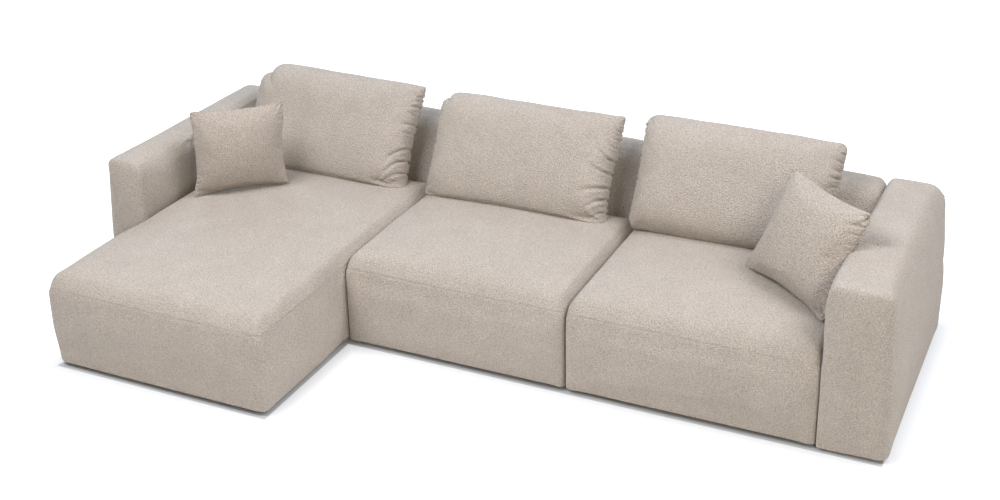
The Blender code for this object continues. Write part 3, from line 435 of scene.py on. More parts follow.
def make_arm(side):
    """A low block arm whose inner top edge is pinched in, so that the front part bulges over the seat.
    Its places hold x from the inner face outwards and y from the front, on the plain block."""
    face_x, width, flip = ARM_BOXES[side]
    inner_round, outer_round, rise, pinch_y, drawn = ARM_SHAPES[side]
    rear = REAR_Y - SEAT_FRONT_Y
    low = (JOIN / 2, 0.0, FLOOR_GAP)
    high = (width, rear, ARM_TOP)
    rounds = ((inner_round, outer_round), ARM_ENDS, (0.012, max(inner_round, outer_round)))
    pinch = pinch_y + np.linspace(-0.05, 0.05, 11)
    plain, faces = block(low, high, rounds, 0.018, ((), pinch, (SEAT_TOP - 0.02,)))
    x, y, z = plain.T
    outer = outer_round * (0.55 + 0.45 * ramp(y, 0.0, 0.30))
    x, z = round_top(x, z, low[0], high[0], ARM_TOP, inner_round, outer)
    inset = rounding(y, ARM_ENDS[0]) + rounding(rear - y, ARM_ENDS[1])
    outside = x > width / 2
    sideways = rounding(y, np.where(outside, 0.032, 0.012))
    sideways = sideways + rounding(rear - y, np.where(outside, ARM_ENDS[1], 0.020))
    x = width / 2 + (x - width / 2) * (1.0 - sideways / (width / 2))
    z = FLOOR_GAP + (z - FLOOR_GAP) * (1.0 - inset / (ARM_TOP - FLOOR_GAP))
    out = x / width
    tall = bell(z, FLOOR_GAP, ARM_TOP)
    above = bell(z, SEAT_TOP - 0.02, ARM_TOP + 0.034)
    front_part = np.where(y < pinch_y, bell(y, -0.05, pinch_y), 0.0)
    near_pinch = hump(y, pinch_y, np.where(y < pinch_y, 0.018, 0.050))
    top = ramp(z, SEAT_TOP, ARM_TOP)
    along = bell(y, -0.05, rear + 0.05)
    across = np.sqrt(bell(x, 0.0, width))
    inner = 1.0 - ramp(out, 0.0, 0.5)
    z = z + (rise + TOP_CROWN * across * np.sqrt(along)) * top
    z = z - PINCH_DOWN * drawn * top * near_pinch * (1.0 - ramp(out, 0.1, 0.85))
    y = y - FACE_SWELL * (1.0 - ramp(y, 0.0, 0.12)) * tall * across
    y = y + FACE_SWELL * ramp(y, rear - 0.12, rear) * tall * across
    swell = 0.010 if side == "left" else 0.012 * tall * along + 0.014
    x = x + swell * out - 0.024 * out * ramp(z, 0.35 * ARM_TOP, ARM_TOP)
    x = x - BULGE * inner * above * front_part + PINCH_IN * drawn * inner * above * near_pinch
    points = np.stack([face_x + flip * x, SEAT_FRONT_Y + y, z], -1)
    return new_skin(f"{side}_arm_upholstery", points, faces[:, ::-1] if flip < 0 else faces, plain)


# Loose cushions

CORNERS = ((-1, 1), (1, 1), (1, -1), (-1, -1))  # across and up, clockwise from the upper left one


def stuffed(name, size, draw_in, corners, power, sharpness, cells, spin, middle, span):
    """Two crowned panels that meet at a seam. Local x runs across, z up the cushion and -y out of its front.
    corners holds how far each is drawn in, across and up, and its radius, clockwise from the upper left.
    The piece is turned by spin, moved to its middle and kept off its seat and the face of the back rest.
    Its places run from -1 to 1 across and up, with 1, 0 or -1 for the front, the seam and the rear."""
    width, below, above, thickness = size

    def spaced(count):
        t = np.linspace(-1.0, 1.0, count + 1)
        return 0.5 * t + 0.5 * np.sin(0.5 * math.pi * t)

    across, upward = spaced(cells[0]), spaced(cells[1])
    a, b = np.meshgrid(across, upward, indexing="ij")
    index = np.arange(a.size).reshape(a.shape)
    edge = np.zeros(a.shape, bool)
    edge[[0, -1]] = edge[:, [0, -1]] = True
    rear_index = np.where(edge, index, a.size + np.cumsum(~edge).reshape(a.shape) - 1)
    faces = np.concatenate([quads(index), quads(rear_index)[:, ::-1]])
    place = np.stack([a.ravel(), b.ravel(), np.where(edge, 0.0, 1.0).ravel()], -1)
    back = np.stack([a[~edge], b[~edge], -np.ones((~edge).sum())], -1)
    place = np.concatenate([place, back])
    a, b, face = place.T
    blunt = np.zeros((len(a), 2))
    for (side, end), (inward, upward, _) in zip(CORNERS, corners):
        here = (a * side > 0) & (b * end > 0)
        blunt[here] = (np.abs(a * b)[here] ** 5)[:, None] * np.array((inward, upward))
    x, z = 0.5 * width * a, np.where(b > 0, above, below) * b
    upper_left, upper_right, lower_right, lower_left = (corner[2] for corner in corners)
    x, z = round_top(x, z, -width / 2, width / 2, above, upper_left, upper_right)
    x, z = round_top(x, -z, -width / 2, width / 2, below, lower_left, lower_right)
    x = x * (1.0 - draw_in[0] * (1.0 - b * b) * a * a) - np.sign(a) * blunt[:, 0]
    z = -z * (1.0 - draw_in[1] * (1.0 - a * a) * b * b) - np.sign(b) * blunt[:, 1]
    fullness = np.clip((1.0 - np.abs(a) ** power[0]) * (1.0 - np.abs(b) ** power[1]), 0.0, None) ** sharpness
    points = np.stack([x, -0.5 * face * thickness * fullness, z], -1)
    x, y, z = (points @ np.array(spin).T + middle).T
    z = np.maximum(z, crown_height(x, y, span) + REST_GAP)
    y = np.minimum(y, CREASE_Y + (z - SEAT_TOP) * BACK_SLOPE - BACK_GAP)
    return new_skin(name, np.stack([x, y, z], -1), faces, place)


CUSHION_LEAN = rotation(-28.0, "X")
CUSHION_ROLLS = {"chaise": 0.9, "middle": 0.4, "right": 0.4}  # degrees, the right end down
CUSHION_SIZES = {  # width, then the height below and above its middle, then the thickness
    "chaise": (0.884, 0.286, 0.244, 0.215),
    "middle": (0.896, 0.286, 0.233, 0.215),
    "right": (0.890, 0.268, 0.251, 0.215),
}
# How far the middle is right of the seat's own, and its height
CUSHION_PLACES = {"chaise": (-0.012, 0.645), "middle": (-0.039, 0.645), "right": (-0.075, 0.657)}
CUSHION_CORNERS = {  # as stuffed takes them, and the same below
    "chaise": ((0.074, 0.020, 0.116), (-0.006, 0.0, 0.012), (0.008, 0.004, 0.04), (0.008, 0.004, 0.03)),
    "middle": ((0.030, 0.012, 0.074), (0.0, -0.008, 0.016), (0.008, 0.004, 0.038), (0.006, 0.004, 0.026)),
    "right": ((-0.004, 0.006, 0.062), (0.002, 0.002, 0.036), (0.010, 0.008, 0.03), (0.014, 0.0, 0.046)),
}


def make_back_cushion(module):
    span = SPANS[module]
    shift, height = CUSHION_PLACES[module]
    middle = np.array(((span.left + span.right) / 2 + shift, CREASE_Y - 0.015, height))
    spin = CUSHION_LEAN @ rotation(CUSHION_ROLLS[module], "Y")
    name = f"{module}_back_cushion_cover"
    shape = CUSHION_SIZES[module], (0.02, -0.02), CUSHION_CORNERS[module]
    return stuffed(name, *shape, (8, 4), 0.5, (96, 60), spin, middle, span)


PILLOW_SIZES = {"left": (0.440, 0.208, 0.209, 0.140), "right": (0.488, 0.229, 0.236, 0.150)}
PILLOW_DRAW_IN = {"left": (0.07, 0.07), "right": (0.10, 0.09)}
PILLOW_CORNERS = {
    "left": ((0.009, 0.004, 0.014), (0.01, 0.0, 0.012), (0.0, 0.0, 0.014), (-0.012, -0.002, 0.016)),
    "right": ((0.01, 0.01, 0.028), (0.014, 0.008, 0.032), (0.004, 0.0, 0.018), (0.002, 0.002, 0.014)),
}
# The middle, from the seat's outer side and the seats' fronts, then the turn, lean and roll in degrees
PILLOW_PLACES = {
    "left": ((0.280, 0.362, 0.650), (42.0, 1.0, 0.0)),
    "right": ((-0.173, 0.409, 0.654), (-33.3, 25.7, 4.4)),
}


def make_throw_pillow(side):
    """A pillow that stands in the corner of its seat."""
    span = SPANS[ENDS[side]]
    (x, y, z), (turn, lean, roll) = PILLOW_PLACES[side]
    middle = np.array(((span.left if x > 0 else span.right) + x, SEAT_FRONT_Y + y, z))
    spin = rotation(turn, "Z") @ rotation(-lean, "X") @ rotation(roll, "Y")
    name = f"{side}_throw_pillow_cover"
    shape = PILLOW_SIZES[side], PILLOW_DRAW_IN[side], PILLOW_CORNERS[side]
    return stuffed(name, *shape, (2.2, 2.2), 0.66, (64, 64), spin, middle, span)


# Materials

def linear(colour):
    """An sRGB hex colour as the linear values that the shader takes."""
    parts = [int(colour[k : k + 2], 16) / 255 for k in (1, 3, 5)]
    return (*(c / 12.92 if c <= 0.04045 else ((c + 0.055) / 1.055) ** 2.4 for c in parts), 1.0)


def add(tree, kind, settings=None, **links):
    """Adds a node. settings are its options or its operation, and a link is a value or another's output."""
    shared = tree.type == "SHADER" or kind in ("Math", "CombineXYZ")  # the same nodes in both sorts of tree
    made = tree.nodes.new(f"{'Shader' if shared else 'Geometry'}Node{kind}")
    if isinstance(settings, str):
        settings = {"operation": settings}
    for key, value in (settings or {}).items():
        setattr(made, key, value)
    for key, value in links.items():
        socket = made.inputs[int(key[1:])] if key[1:].isdigit() else made.inputs[key.replace("_", " ")]
        if isinstance(value, bpy.types.NodeSocket):
            tree.links.new(value, socket)
        else:
            socket.default_value = value
    return made.outputs[0] if made.outputs else None


def new_material(name, **shader_values):
    material = bpy.data.materials.new(name)
    material.use_nodes = True
    tree = material.node_tree
    shader = tree.nodes["Principled BSDF"]
    for key, value in shader_values.items():
        shader.inputs[key.replace("_", " ")].default_value = value
    return material, tree, shader, add(tree, "TexCoord").node.outputs["Object"]


def wire(tree, shader, colour, matt, bump):
    for label, value in (("Base Color", colour), ("Roughness", matt), ("Normal", bump)):
        tree.links.new(value, shader.inputs[label])


def boucle_chenille(name, dark, body, light, nub):
    """Woven chenille with a curled face: a soft matt cloth with pale and dark flecks and a fuzzy edge light.
    The real nubs are about 2.5 mm and are drawn twice as coarse, at nub, so that they show."""
    material, tree, shader, spot = new_material(
        name, Roughness=0.92, Specular_IOR_Level=0.25,
        Sheen_Weight=0.35, Sheen_Roughness=0.45, Sheen_Tint=linear("#efe9e2"),
    )
    drift = add(tree, "TexNoise", Vector=spot, Scale=9.0, Detail=2.0)
    along = add(tree, "Mapping", Vector=spot, Scale=(0.85, 0.75, 0.95))
    fleck = add(tree, "TexNoise", Vector=along, Scale=1.5 / nub, Detail=2.0, Roughness=0.6)
    cells = add(tree, "TexVoronoi", Vector=along, Scale=1.0 / nub)
    curl = add(tree, "MapRange", Value=cells, From_Max=0.75, To_Min=1.0, To_Max=0.0)
    tones = add(tree, "ValToRGB", Fac=fleck)
    elements = tones.node.color_ramp.elements
    elements[0].position, elements[0].color = 0.375, linear(dark)
    elements[1].position, elements[1].color = 0.625, linear(light)
    elements.new(0.50).color = linear(body)
    # painted shade: the colour darkens in the gaps between the nubs and lightens on their tips
    painted_nub_shade = add(tree, "MapRange", Value=curl, To_Min=0.80, To_Max=1.07)
    large = add(tree, "MapRange", Value=drift, From_Min=0.3, From_Max=0.7, To_Min=0.965, To_Max=1.035)
    # the painted nub shade times a random large mottle of the cloth's tone
    painted_shade_and_mottle = add(tree, "Math", "MULTIPLY", _0=painted_nub_shade, _1=large)
    colour = add(tree, "VectorMath", "SCALE", _0=tones, Scale=painted_shade_and_mottle)
    matt = add(tree, "MapRange", Value=fleck, To_Min=0.84, To_Max=1.0)
    height = add(tree, "Math", "MULTIPLY_ADD", _0=fleck, _1=0.5, _2=curl)
    bump = add(tree, "Bump", Height=height, Strength=1.0, Distance=0.0030)
    wire(tree, shader, colour, matt, bump)
    return material


def simple_finish(name, colours, grain, bump_depth, stretch=(1.0, 1.0, 1.0), **values):
    """A finish of two mixed tones: grain is the size of its pattern in metres, stretched along an axis."""
    material, tree, shader, spot = new_material(name, **values)
    turned = add(tree, "Mapping", Vector=spot, Scale=stretch)
    pattern = add(tree, "TexNoise", Vector=turned, Scale=1.0 / grain, Detail=4.0, Distortion=0.4)
    tones = [linear(colour) for colour in colours]
    mixed = add(tree, "Mix", {"data_type": "RGBA"}, Factor=pattern, _6=tones[0], _7=tones[1]).node.outputs[2]
    rough = values["Roughness"]
    matt = add(tree, "MapRange", Value=pattern, To_Min=rough * 0.85, To_Max=min(1.0, rough * 1.15))
    bump = add(tree, "Bump", Height=pattern, Strength=0.5, Distance=bump_depth)
    wire(tree, shader, mixed, matt, bump)
    return material


COVER = boucle_chenille("chenille_cover", "#aea49a", "#bdb4ac", "#cec6be", 0.0050)
PILLOW = boucle_chenille("chenille_pillow", "#a89d93", "#bbb1a8", "#d0c8c0", 0.0050)
# Spun polyester sewing thread: a faint twist about 1 mm long, a little smoother than the cloth
THREAD = simple_finish("polyester_thread", ("#a79d92", "#bdb3a9"), 0.0010, 0.0001, Roughness=0.6)
# Pine boards, sawn and planed: long streaks along the board, matt
PINE = simple_finish("pine_boards", ("#c79a63", "#dbb884"), 0.012, 0.0003, (0.12, 1.0, 1.0), Roughness=0.7)
# Cut polyether foam: fine open cells, cream
FOAM = simple_finish("cut_foam", ("#e4dab9", "#efe7cc"), 0.0012, 0.0004, Roughness=0.95)
# Rubber and polypropylene webbing: tight ribs about 1.5 mm apart across the strap
WEBBING = simple_finish(
    "elastic_webbing", ("#232325", "#34343a"), 0.0015, 0.0004, (0.2, 1.0, 1.0), Roughness=0.8
)
# Spunbond polypropylene: thin, black, with a fine pressed pattern
DUST_CLOTH = simple_finish("spunbond_cloth", ("#141414", "#222222"), 0.0014, 0.0002, Roughness=0.95)
# Moulded polyethylene glides: satin black with a fine spark-eroded texture
GLIDE = simple_finish("moulded_glide", ("#161616", "#1e1e1e"), 0.0006, 0.0001, Roughness=0.45)
# Zinc-plated pressed steel: cool grey with faint cloudy patches
ZINC = simple_finish(
    "zinc_plated_steel", ("#a9acb0", "#c3c5c8"), 0.006, 0.00005, Roughness=0.35, Metallic=1.0
)

# The material of each carried piece, by a word in its name
CARRIED = {
    "frame": PINE, "foam": FOAM, "webbing": WEBBING, "dust_cover": DUST_CLOTH,
    "glide": GLIDE, "socket": ZINC, "tongue": ZINC, "bolt": ZINC,
}
for name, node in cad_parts.items():
    for word, material in CARRIED.items():
        if word in name:
            node.data.materials.clear()
            node.data.materials.append(material)


# Making the pieces

def body_of(module):
    return f"{module}_module"


def cad(*names):
    return [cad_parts[name] for name in names]


def geometry_tree(name, **inputs):
    """An empty Geometry Nodes tree with its named inputs, and their sockets inside it."""
    tree = bpy.data.node_groups.new(name, "GeometryNodeTree")
    for label, kind in inputs.items():
        tree.interface.new_socket(label, in_out="INPUT", socket_type=f"NodeSocket{kind}")
    tree.interface.new_socket("Result", in_out="OUTPUT", socket_type="NodeSocketGeometry")
    return tree, tree.nodes.new("NodeGroupInput").outputs


def end_tree(tree, geometry, material):
    """Ends a tree with whole meshes that carry their material."""
    single = add(tree, "RealizeInstances", Geometry=geometry)
    finished = add(tree, "SetMaterial", Geometry=single, Material=material)
    tree.links.new(finished, tree.nodes.new("NodeGroupOutput").inputs[0])
    return tree


# Stitches of thread laid end to end along a path
tree, given = geometry_tree(
    "lockstitch", Path="Geometry", Pitch="Float", Length="Float", Thickness="Float", Thread="Material"
)
path = add(tree, "MeshToCurve", Mesh=given["Path"])
points = add(tree, "CurveToPoints", {"mode": "LENGTH"}, Curve=path, Length=given["Pitch"])
stitch = add(tree, "MeshUVSphere", Segments=6, Rings=5, Radius=0.5)
size = add(tree, "CombineXYZ", X=given["Thickness"], Y=given["Thickness"], Z=given["Length"])
turns = points.node.outputs["Rotation"]
laid = add(tree, "InstanceOnPoints", Points=points, Instance=stitch, Rotation=turns, Scale=size)
STITCHES = end_tree(tree, laid, given["Thread"])

# The lip where two panels are sewn face to face and turned out: a thin round edge, nipped in by every stitch
tree, given = geometry_tree(
    "turned_seam", Path="Geometry", Pitch="Float", Radius="Float", Nip="Float", Cloth="Material"
)
path = add(tree, "MeshToCurve", Mesh=given["Path"])
step = add(tree, "Math", "DIVIDE", _0=given["Pitch"], _1=2.0)
path = add(tree, "ResampleCurve", {"mode": "LENGTH"}, Curve=path, Length=step)
number = add(tree, "InputIndex")
every_other = add(tree, "Math", "MODULO", _0=number, _1=2.0)
nipped = add(tree, "Math", "MULTIPLY", _0=every_other, _1=given["Nip"])
radius = add(tree, "Math", "SUBTRACT", _0=given["Radius"], _1=nipped)
path = add(tree, "SetCurveRadius", Curve=path, Radius=radius)
edge = add(tree, "CurvePrimitiveCircle", Resolution=6, Radius=1.0)
lip = add(tree, "CurveToMesh", Curve=path, Profile_Curve=edge, Scale=radius)
SEAM_LIP = end_tree(tree, lip, given["Cloth"])


def sew(name, path, closed, tree, values, body):
    """Runs a seam tree along a line of points and keeps the result as a plain mesh that rides on a body."""
    count = len(path)
    runs = [(k, (k + 1) % count) for k in range(count if closed else count - 1)]
    piece = new_piece(name, path, [], runs)
    step = piece.modifiers.new("Seam", "NODES")
    step.node_group = tree
    for label, value in values.items():
        step[tree.interface.items_tree[label].identifier] = value
    bake(piece)
    shade(piece, 60.0)
    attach(piece, body)


def turned_seam(piece):
    """The points along a stuffed piece's seam, in order round it."""
    a, b, _ = places(piece).T
    on = np.flatnonzero(np.maximum(np.abs(a), np.abs(b)) > 0.99999)
    a, b = a[on], b[on]
    upright = np.abs(a) > 0.99999
    round_it = np.where(upright, np.where(a > 0, 1.0 + b, 5.0 - b), np.where(b > 0, 3.0 - a, 7.0 + a))
    return coordinates(piece)[on[np.argsort(round_it, kind="stable")]]


def top_panel_seam(piece, module):
    """The points along the visible run of a seat's seam, from its left to its right end."""
    span = SPANS[module]
    x, y, z = places(piece).T
    on = np.abs(z - SEAM_Z) < 0.0004
    limit = SEAT_FRONT_Y - 0.02 if module == "chaise" else span.front + 0.0004
    on = np.flatnonzero(on & (y < limit))
    x, y = x[on] - span.left, y[on] - span.front
    left, right = x < JOIN, x > span.right - span.left - JOIN
    along = x + np.where(left, -y, 0.0) + np.where(right, y, 0.0)
    line = coordinates(piece) + 0.0004 * normals(piece)
    return line[on[np.argsort(along, kind="stable")]]


def dress(piece, body, node, material, angle):
    piece.data.materials.clear()
    piece.data.materials.append(material)
    shade(piece, angle)
    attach(piece, body)
    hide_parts(node)


seats = {module: make_seat(module) for module in MODULES}
backs = {module: make_back_rest(module) for module in MODULES}
arms = {side: make_arm(side) for side in ENDS}
cushions = {module: make_back_cushion(module) for module in MODULES}
pillows = {side: make_throw_pillow(side) for side in ENDS}

# What stands against each module's sides, where the blank is seat or back
BESIDE = {
    "chaise": ("left_arm", "middle_{}"),
    "middle": ("chaise_{}", "right_{}"),
    "right": ("right_arm", "middle_{}"),
}


def beside(module, own, other):
    return cad(f"{module}_{other}_cover", *(f"{name.format(own)}_cover" for name in BESIDE[module]))


for module in MODULES:
    let_swell(seats[module], beside(module, "seat", "back"), "seat")
    let_swell(backs[module], beside(module, "back", "seat"), "back")
for side, module in ENDS.items():
    let_swell(arms[side], cad(f"{module}_seat_cover", f"{module}_back_cover"), "arm")


def seam_weights(piece, size, sides):
    """1 on the seam and 0 from 45 mm away, times the share that each side's seam is gathered by."""
    a, b, _ = places(piece).T
    across = (1.0 - np.abs(a)) * size[0] / 2
    upward = (1.0 - np.abs(b)) * np.where(b > 0, size[2], size[1])
    side = np.where(a > 0, sides[1], sides[0]) * (1.0 - ramp(across, 0.0, 0.045))
    ends = 0.25 * (1.0 - ramp(upward, 0.0, 0.03))
    return np.maximum(side, ends)


GATHERS = {"chaise": (0.3, 0.8), "middle": (0.4, 1.0), "right": (0.5, 0.8)}
for module in MODULES:
    around = cad(f"{module}_seat_cover", f"{module}_back_cover")
    weights = seam_weights(cushions[module], CUSHION_SIZES[module], GATHERS[module])
    let_swell(cushions[module], around, "cushion", weights, 0.08)
for side, module in ENDS.items():
    weights = seam_weights(pillows[side], PILLOW_SIZES[side], (0.5, 0.5))
    let_swell(pillows[side], cad(f"{module}_seat_cover"), "pillow", weights, 0.06)
run_cloth()


# Seams, folds and gathers, pressed into the swollen skins

def finish_seat(piece, seed):
    """Sews the top panel's seam: a step and a fine groove all round, and broad soft waves in the cloth."""
    x, y, z = places(piece).T
    groove = 0.0018 * hump(z, SEAM_Z, 0.0030) - 0.0010 * hump(z, SEAM_Z + 0.010, 0.009)
    soft = 0.0022 * uneven(piece, 0.22, seed) * ramp(z, FLOOR_GAP, 0.10)
    press(piece, groove + soft)


def clear_timber(piece, side):
    """Keeps an arm's skin and a thin wadding outside the box of its timber frame's upper part."""
    face_x, _, flip = ARM_BOXES[side]
    low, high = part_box(f"{side}_arm_frame")
    outer = abs((high.x if flip > 0 else low.x) - face_x)
    points = coordinates(piece)
    depth = flip * (points[:, 0] - face_x)
    y, z = points[:, 1], points[:, 2]
    # How deep each point lies behind the box's inner side, outer side, top, front and rear
    behind = np.stack([depth - WALL, outer - depth, high.z - z, y - low.y, high.y - y]) + WADDING
    nearest = np.where((behind > 0).all(axis=0) & (z > SEAT_TOP), behind.argmin(axis=0), -1)
    for number, (axis, way) in enumerate(((0, -flip), (0, flip), (2, 1.0), (1, -1.0), (1, 1.0))):
        here = nearest == number
        points[here, axis] += way * behind[number, here]
    set_coordinates(piece, points)


def finish_arm(piece, side, seed):
    """Folds that fan out from the pinch over the arm's top and down its inner face."""
    x, y, z = places(piece).T
    away = x + np.maximum(0.0, ARM_TOP - z) * (x < 0.02)
    pinch_y, drawn = ARM_SHAPES[side][3:]
    shift = y - pinch_y
    reach = np.hypot(away, shift)
    turn = np.arctan2(shift, away)
    fan = -np.cos(6.5 * turn + 0.5 * np.sin(2.0 * turn)) * np.exp(-reach / 0.085) * ramp(reach, 0.0, 0.020)
    valley = hump(shift, 0.010 * np.sin(away / 0.03), 0.008 + 0.10 * away) * np.exp(-away / 0.07)
    upper = ramp(z, SEAT_TOP, ARM_TOP - 0.10)
    soft = 0.0020 * uneven(piece, 0.16, seed) * ramp(z, FLOOR_GAP, 0.10)
    press(piece, soft - upper * drawn * (0.0080 * fan - 0.0090 * valley))
    clear_timber(piece, side)


def pleated(piece, size, pleats):
    """Presses pleats that start at a side seam. Each is its side, its height from -1 to 1, then its length,
    its slope up the cushion as it leaves the seam, its depth and its width."""
    a, b, _ = places(piece).T
    up = b * np.where(b > 0, size[2], size[1])
    depth = np.zeros(len(a))
    for side, height, length, slope, deep, width in pleats:
        inward = (1.0 - a * side) * size[0] / 2
        start = height * (size[2] if height > 0 else size[1])
        bend = slope * inward * (1.0 + 1.5 * inward / length)
        broad = width * (0.55 + 0.9 * np.clip(inward / length, 0.0, 1.2))
        off = (up - start - bend) / broad
        fade = np.clip(1.0 - inward / length, 0.0, 1.0) ** 1.3 * ramp(inward, -0.002, 0.006)
        depth += deep * fade * (1.35 * np.exp(-(off**2)) - 0.55 * np.exp(-((off / 2.2) ** 2)))
    press(piece, depth)


def small_gathers(seed):
    """Short uneven pleats all the way down both side seams."""
    draw = np.random.default_rng(seed)
    found = []
    for side in (-1, 1):
        for height in np.linspace(-0.9, 0.9, 13):
            at = height + draw.uniform(-0.05, 0.05)
            length = draw.uniform(0.025, 0.050)
            found.append((side, at, length, draw.uniform(-0.5, 0.5), draw.uniform(0.0018, 0.0042), 0.008))
    return found


def corner_creases(piece, size, depths, seed):
    """Creases that run from each corner towards the middle. depths go clockwise from the upper left."""
    a, b, _ = places(piece).T
    x, z = a * size[0] / 2, b * size[1]
    depth = np.zeros(len(a))
    for (side, end), deep in zip(CORNERS, depths):
        across, upward = size[0] / 2 - side * x, size[1] - end * z
        reach = np.hypot(across, upward)
        turn = np.arctan2(upward, across)
        fade = np.exp(-reach / 0.035) * ramp(reach, 0.004, 0.020)
        depth += deep * np.cos(9.0 * turn + seed + side) * fade
    press(piece, depth)


PLEATS = {
    "chaise": [
        (1, 0.76, 0.045, 0.3, 0.009, 0.009), (1, 0.58, 0.06, -0.2, 0.0099, 0.01),
        (1, 0.4, 0.045, 0.25, 0.0081, 0.009), (1, 0.22, 0.06, -0.1, 0.0099, 0.01),
        (1, 0.04, 0.05, 0.1, 0.0081, 0.01), (1, -0.22, 0.105, -0.45, 0.0135, 0.012),
        (1, -0.42, 0.12, -0.4, 0.0153, 0.012), (1, -0.62, 0.1, -0.25, 0.0126, 0.011),
        (-1, 0.1, 0.05, 0.2, 0.0063, 0.01),
    ],
    "middle": [
        (1, 0.84, 0.05, 0.35, 0.0081, 0.008), (1, 0.7, 0.045, 0.3, 0.009, 0.008),
        (1, 0.54, 0.055, 0.2, 0.0081, 0.008), (1, 0.38, 0.05, 0.3, 0.009, 0.009),
        (1, 0.13, 0.115, 0.42, 0.0155, 0.011), (1, -0.1, 0.12, 0.16, 0.0155, 0.011),
        (1, -0.32, 0.15, -0.12, 0.0155, 0.012), (1, -0.5, 0.11, -0.25, 0.0144, 0.011),
        (1, -0.7, 0.07, -0.3, 0.009, 0.01),
        (-1, 0.42, 0.05, 0.2, 0.0108, 0.009), (-1, -0.06, 0.055, -0.15, 0.0126, 0.01),
    ],
    "right": [
        (1, 0.8, 0.045, 0.2, 0.009, 0.008), (1, 0.66, 0.05, 0.1, 0.0099, 0.008),
        (1, 0.52, 0.045, 0.0, 0.0099, 0.008), (1, 0.38, 0.05, 0.05, 0.0108, 0.008),
        (1, 0.24, 0.045, -0.1, 0.0099, 0.008), (1, 0.08, 0.06, -0.2, 0.0108, 0.009),
        (-1, 0.74, 0.045, 0.2, 0.009, 0.009), (-1, 0.22, 0.05, 0.1, 0.0108, 0.009),
        (-1, -0.18, 0.045, -0.2, 0.009, 0.009), (1, -0.4, 0.08, -0.3, 0.0108, 0.011),
    ],
}
FOLDS = {
    "left": [(1, 0.14, 0.035, 0.0, 0.004, 0.009)],
    "right": [
        (1, 0.9, 0.06, -0.1, 0.0065, 0.007), (1, 0.74, 0.075, -0.15, 0.008, 0.008),
        (1, 0.56, 0.06, -0.1, 0.0065, 0.008), (1, 0.36, 0.045, 0.0, 0.0045, 0.008),
        (1, -0.6, 0.05, 0.1, 0.0045, 0.008), (1, -0.82, 0.06, 0.15, 0.006, 0.008),
    ],
}

for seed, module in enumerate(MODULES):
    finish_seat(subdivide(seats[module]), 3 + seed)
    back = subdivide(backs[module])
    press(back, 0.0020 * uneven(back, 0.18, 11 + seed))
for seed, side in enumerate(ENDS):
    finish_arm(subdivide(arms[side]), side, 21 + seed)

for seed, module in enumerate(MODULES):
    cushion = subdivide(cushions[module])
    pleated(cushion, CUSHION_SIZES[module], PLEATS[module] + small_gathers(31 + seed))
    press(cushion, 0.0030 * uneven(cushion, 0.13, 41 + seed))
    keep_out(cushion, seats[module], backs[module])
for seed, (side, module) in enumerate(ENDS.items()):
    pillow = subdivide(pillows[side])
    pleated(pillow, PILLOW_SIZES[side], FOLDS[side] + small_gathers(51 + seed))
    depths = (0.002, 0.003, 0.002, 0.002) if side == "left" else (0.003, 0.009, 0.010, 0.003)
    corner_creases(pillow, PILLOW_SIZES[side], depths, seed)
    press(pillow, 0.0025 * uneven(pillow, 0.09, 61 + seed))
    keep_out(pillow, seats[module], arms[side], cushions[module])


# The sewn seams: a thread in the seats' seam and a turned lip round each loose piece

STITCHED = {"Pitch": 0.0075, "Length": 0.0060, "Thickness": 0.0013, "Thread": THREAD}
for module in MODULES:
    line = top_panel_seam(seats[module], module)
    sew(f"{module}_seat_stitching", line, False, STITCHES, STITCHED, body_of(module))
LIP = {"Pitch": 0.0080, "Radius": 0.0021, "Nip": 0.0007}
for loose, end, slot, cloth in (
    (cushions, "back_cushion", "cover_fabric", COVER), (pillows, "throw_pillow", "pillow_fabric", PILLOW)
):
    values = {**LIP, "Cloth": cloth}
    for key, piece in loose.items():
        sew(f"{key}_{end}_seam", turned_seam(piece), True, SEAM_LIP, values, f"{key}_{end}_body")


# The hollows for the frames, the foam and the connectors, open to the floor

BELOW = -0.05  # where the cutters start, under the floor
THROUGH = 2 * WALL  # how far an opening between two covers reaches into each of them
ARM_PADDING = (1.2 * WALL, 1.6 * WALL, 3.6 * WALL)  # at its inner side, its outer side and rear, its top
half_y, half_z = POCKET
for module in MODULES:
    span = SPANS[module]
    left, right = span.left + WALL, span.right - WALL
    hollows = [
        box_cutter((left, span.front + WALL, BELOW), (right, CREASE_Y - WALL, FOAM_TOP)),
        box_cutter((left, CREASE_Y - THROUGH, BELOW), (right, CREASE_Y + THROUGH, FRAME_TOP)),
    ]
    sides = {"chaise": (span.right,), "middle": (span.left, span.right), "right": (span.left,)}[module]
    for seam_x in sides:
        for seam_y in (SEAT_FRONT_Y + CONNECTOR_INSET, CREASE_Y - CONNECTOR_INSET):
            low = (seam_x - 1.5 * WALL, seam_y - half_y, CONNECTOR_Z - half_z)
            high = (seam_x + 1.5 * WALL, seam_y + half_y, CONNECTOR_Z + half_z)
            hollows.append(box_cutter(low, high))
    cut(seats[module], hollows)
    crease = CREASE_Y - THROUGH
    inside_rear = REAR_Y - WALL
    inside_top = BACK_TOP - WALL - 0.010
    face = CREASE_Y + WALL
    profile = [
        (crease, BELOW), (inside_rear, BELOW), (inside_rear, inside_top),
        (face + (inside_top - SEAT_TOP) * BACK_SLOPE, inside_top), (face, SEAT_TOP), (face, FRAME_TOP),
        (crease, FRAME_TOP),
    ]
    cut(backs[module], [profile_cutter(left, right, profile)])
for side in arms:
    face_x, width, flip = ARM_BOXES[side]
    ends = sorted((face_x + flip * ARM_PADDING[0], face_x + flip * (width - ARM_PADDING[1])))
    opening = sorted((face_x - flip * WALL, face_x + flip * THROUGH))
    front, rear = SEAT_FRONT_Y + WALL, REAR_Y - ARM_PADDING[1]
    cut(arms[side], [
        box_cutter((ends[0], front, BELOW), (ends[1], rear, ARM_TOP - ARM_PADDING[2])),
        box_cutter((opening[0], front, BELOW), (opening[1], rear - WALL, FRAME_TOP)),
    ])

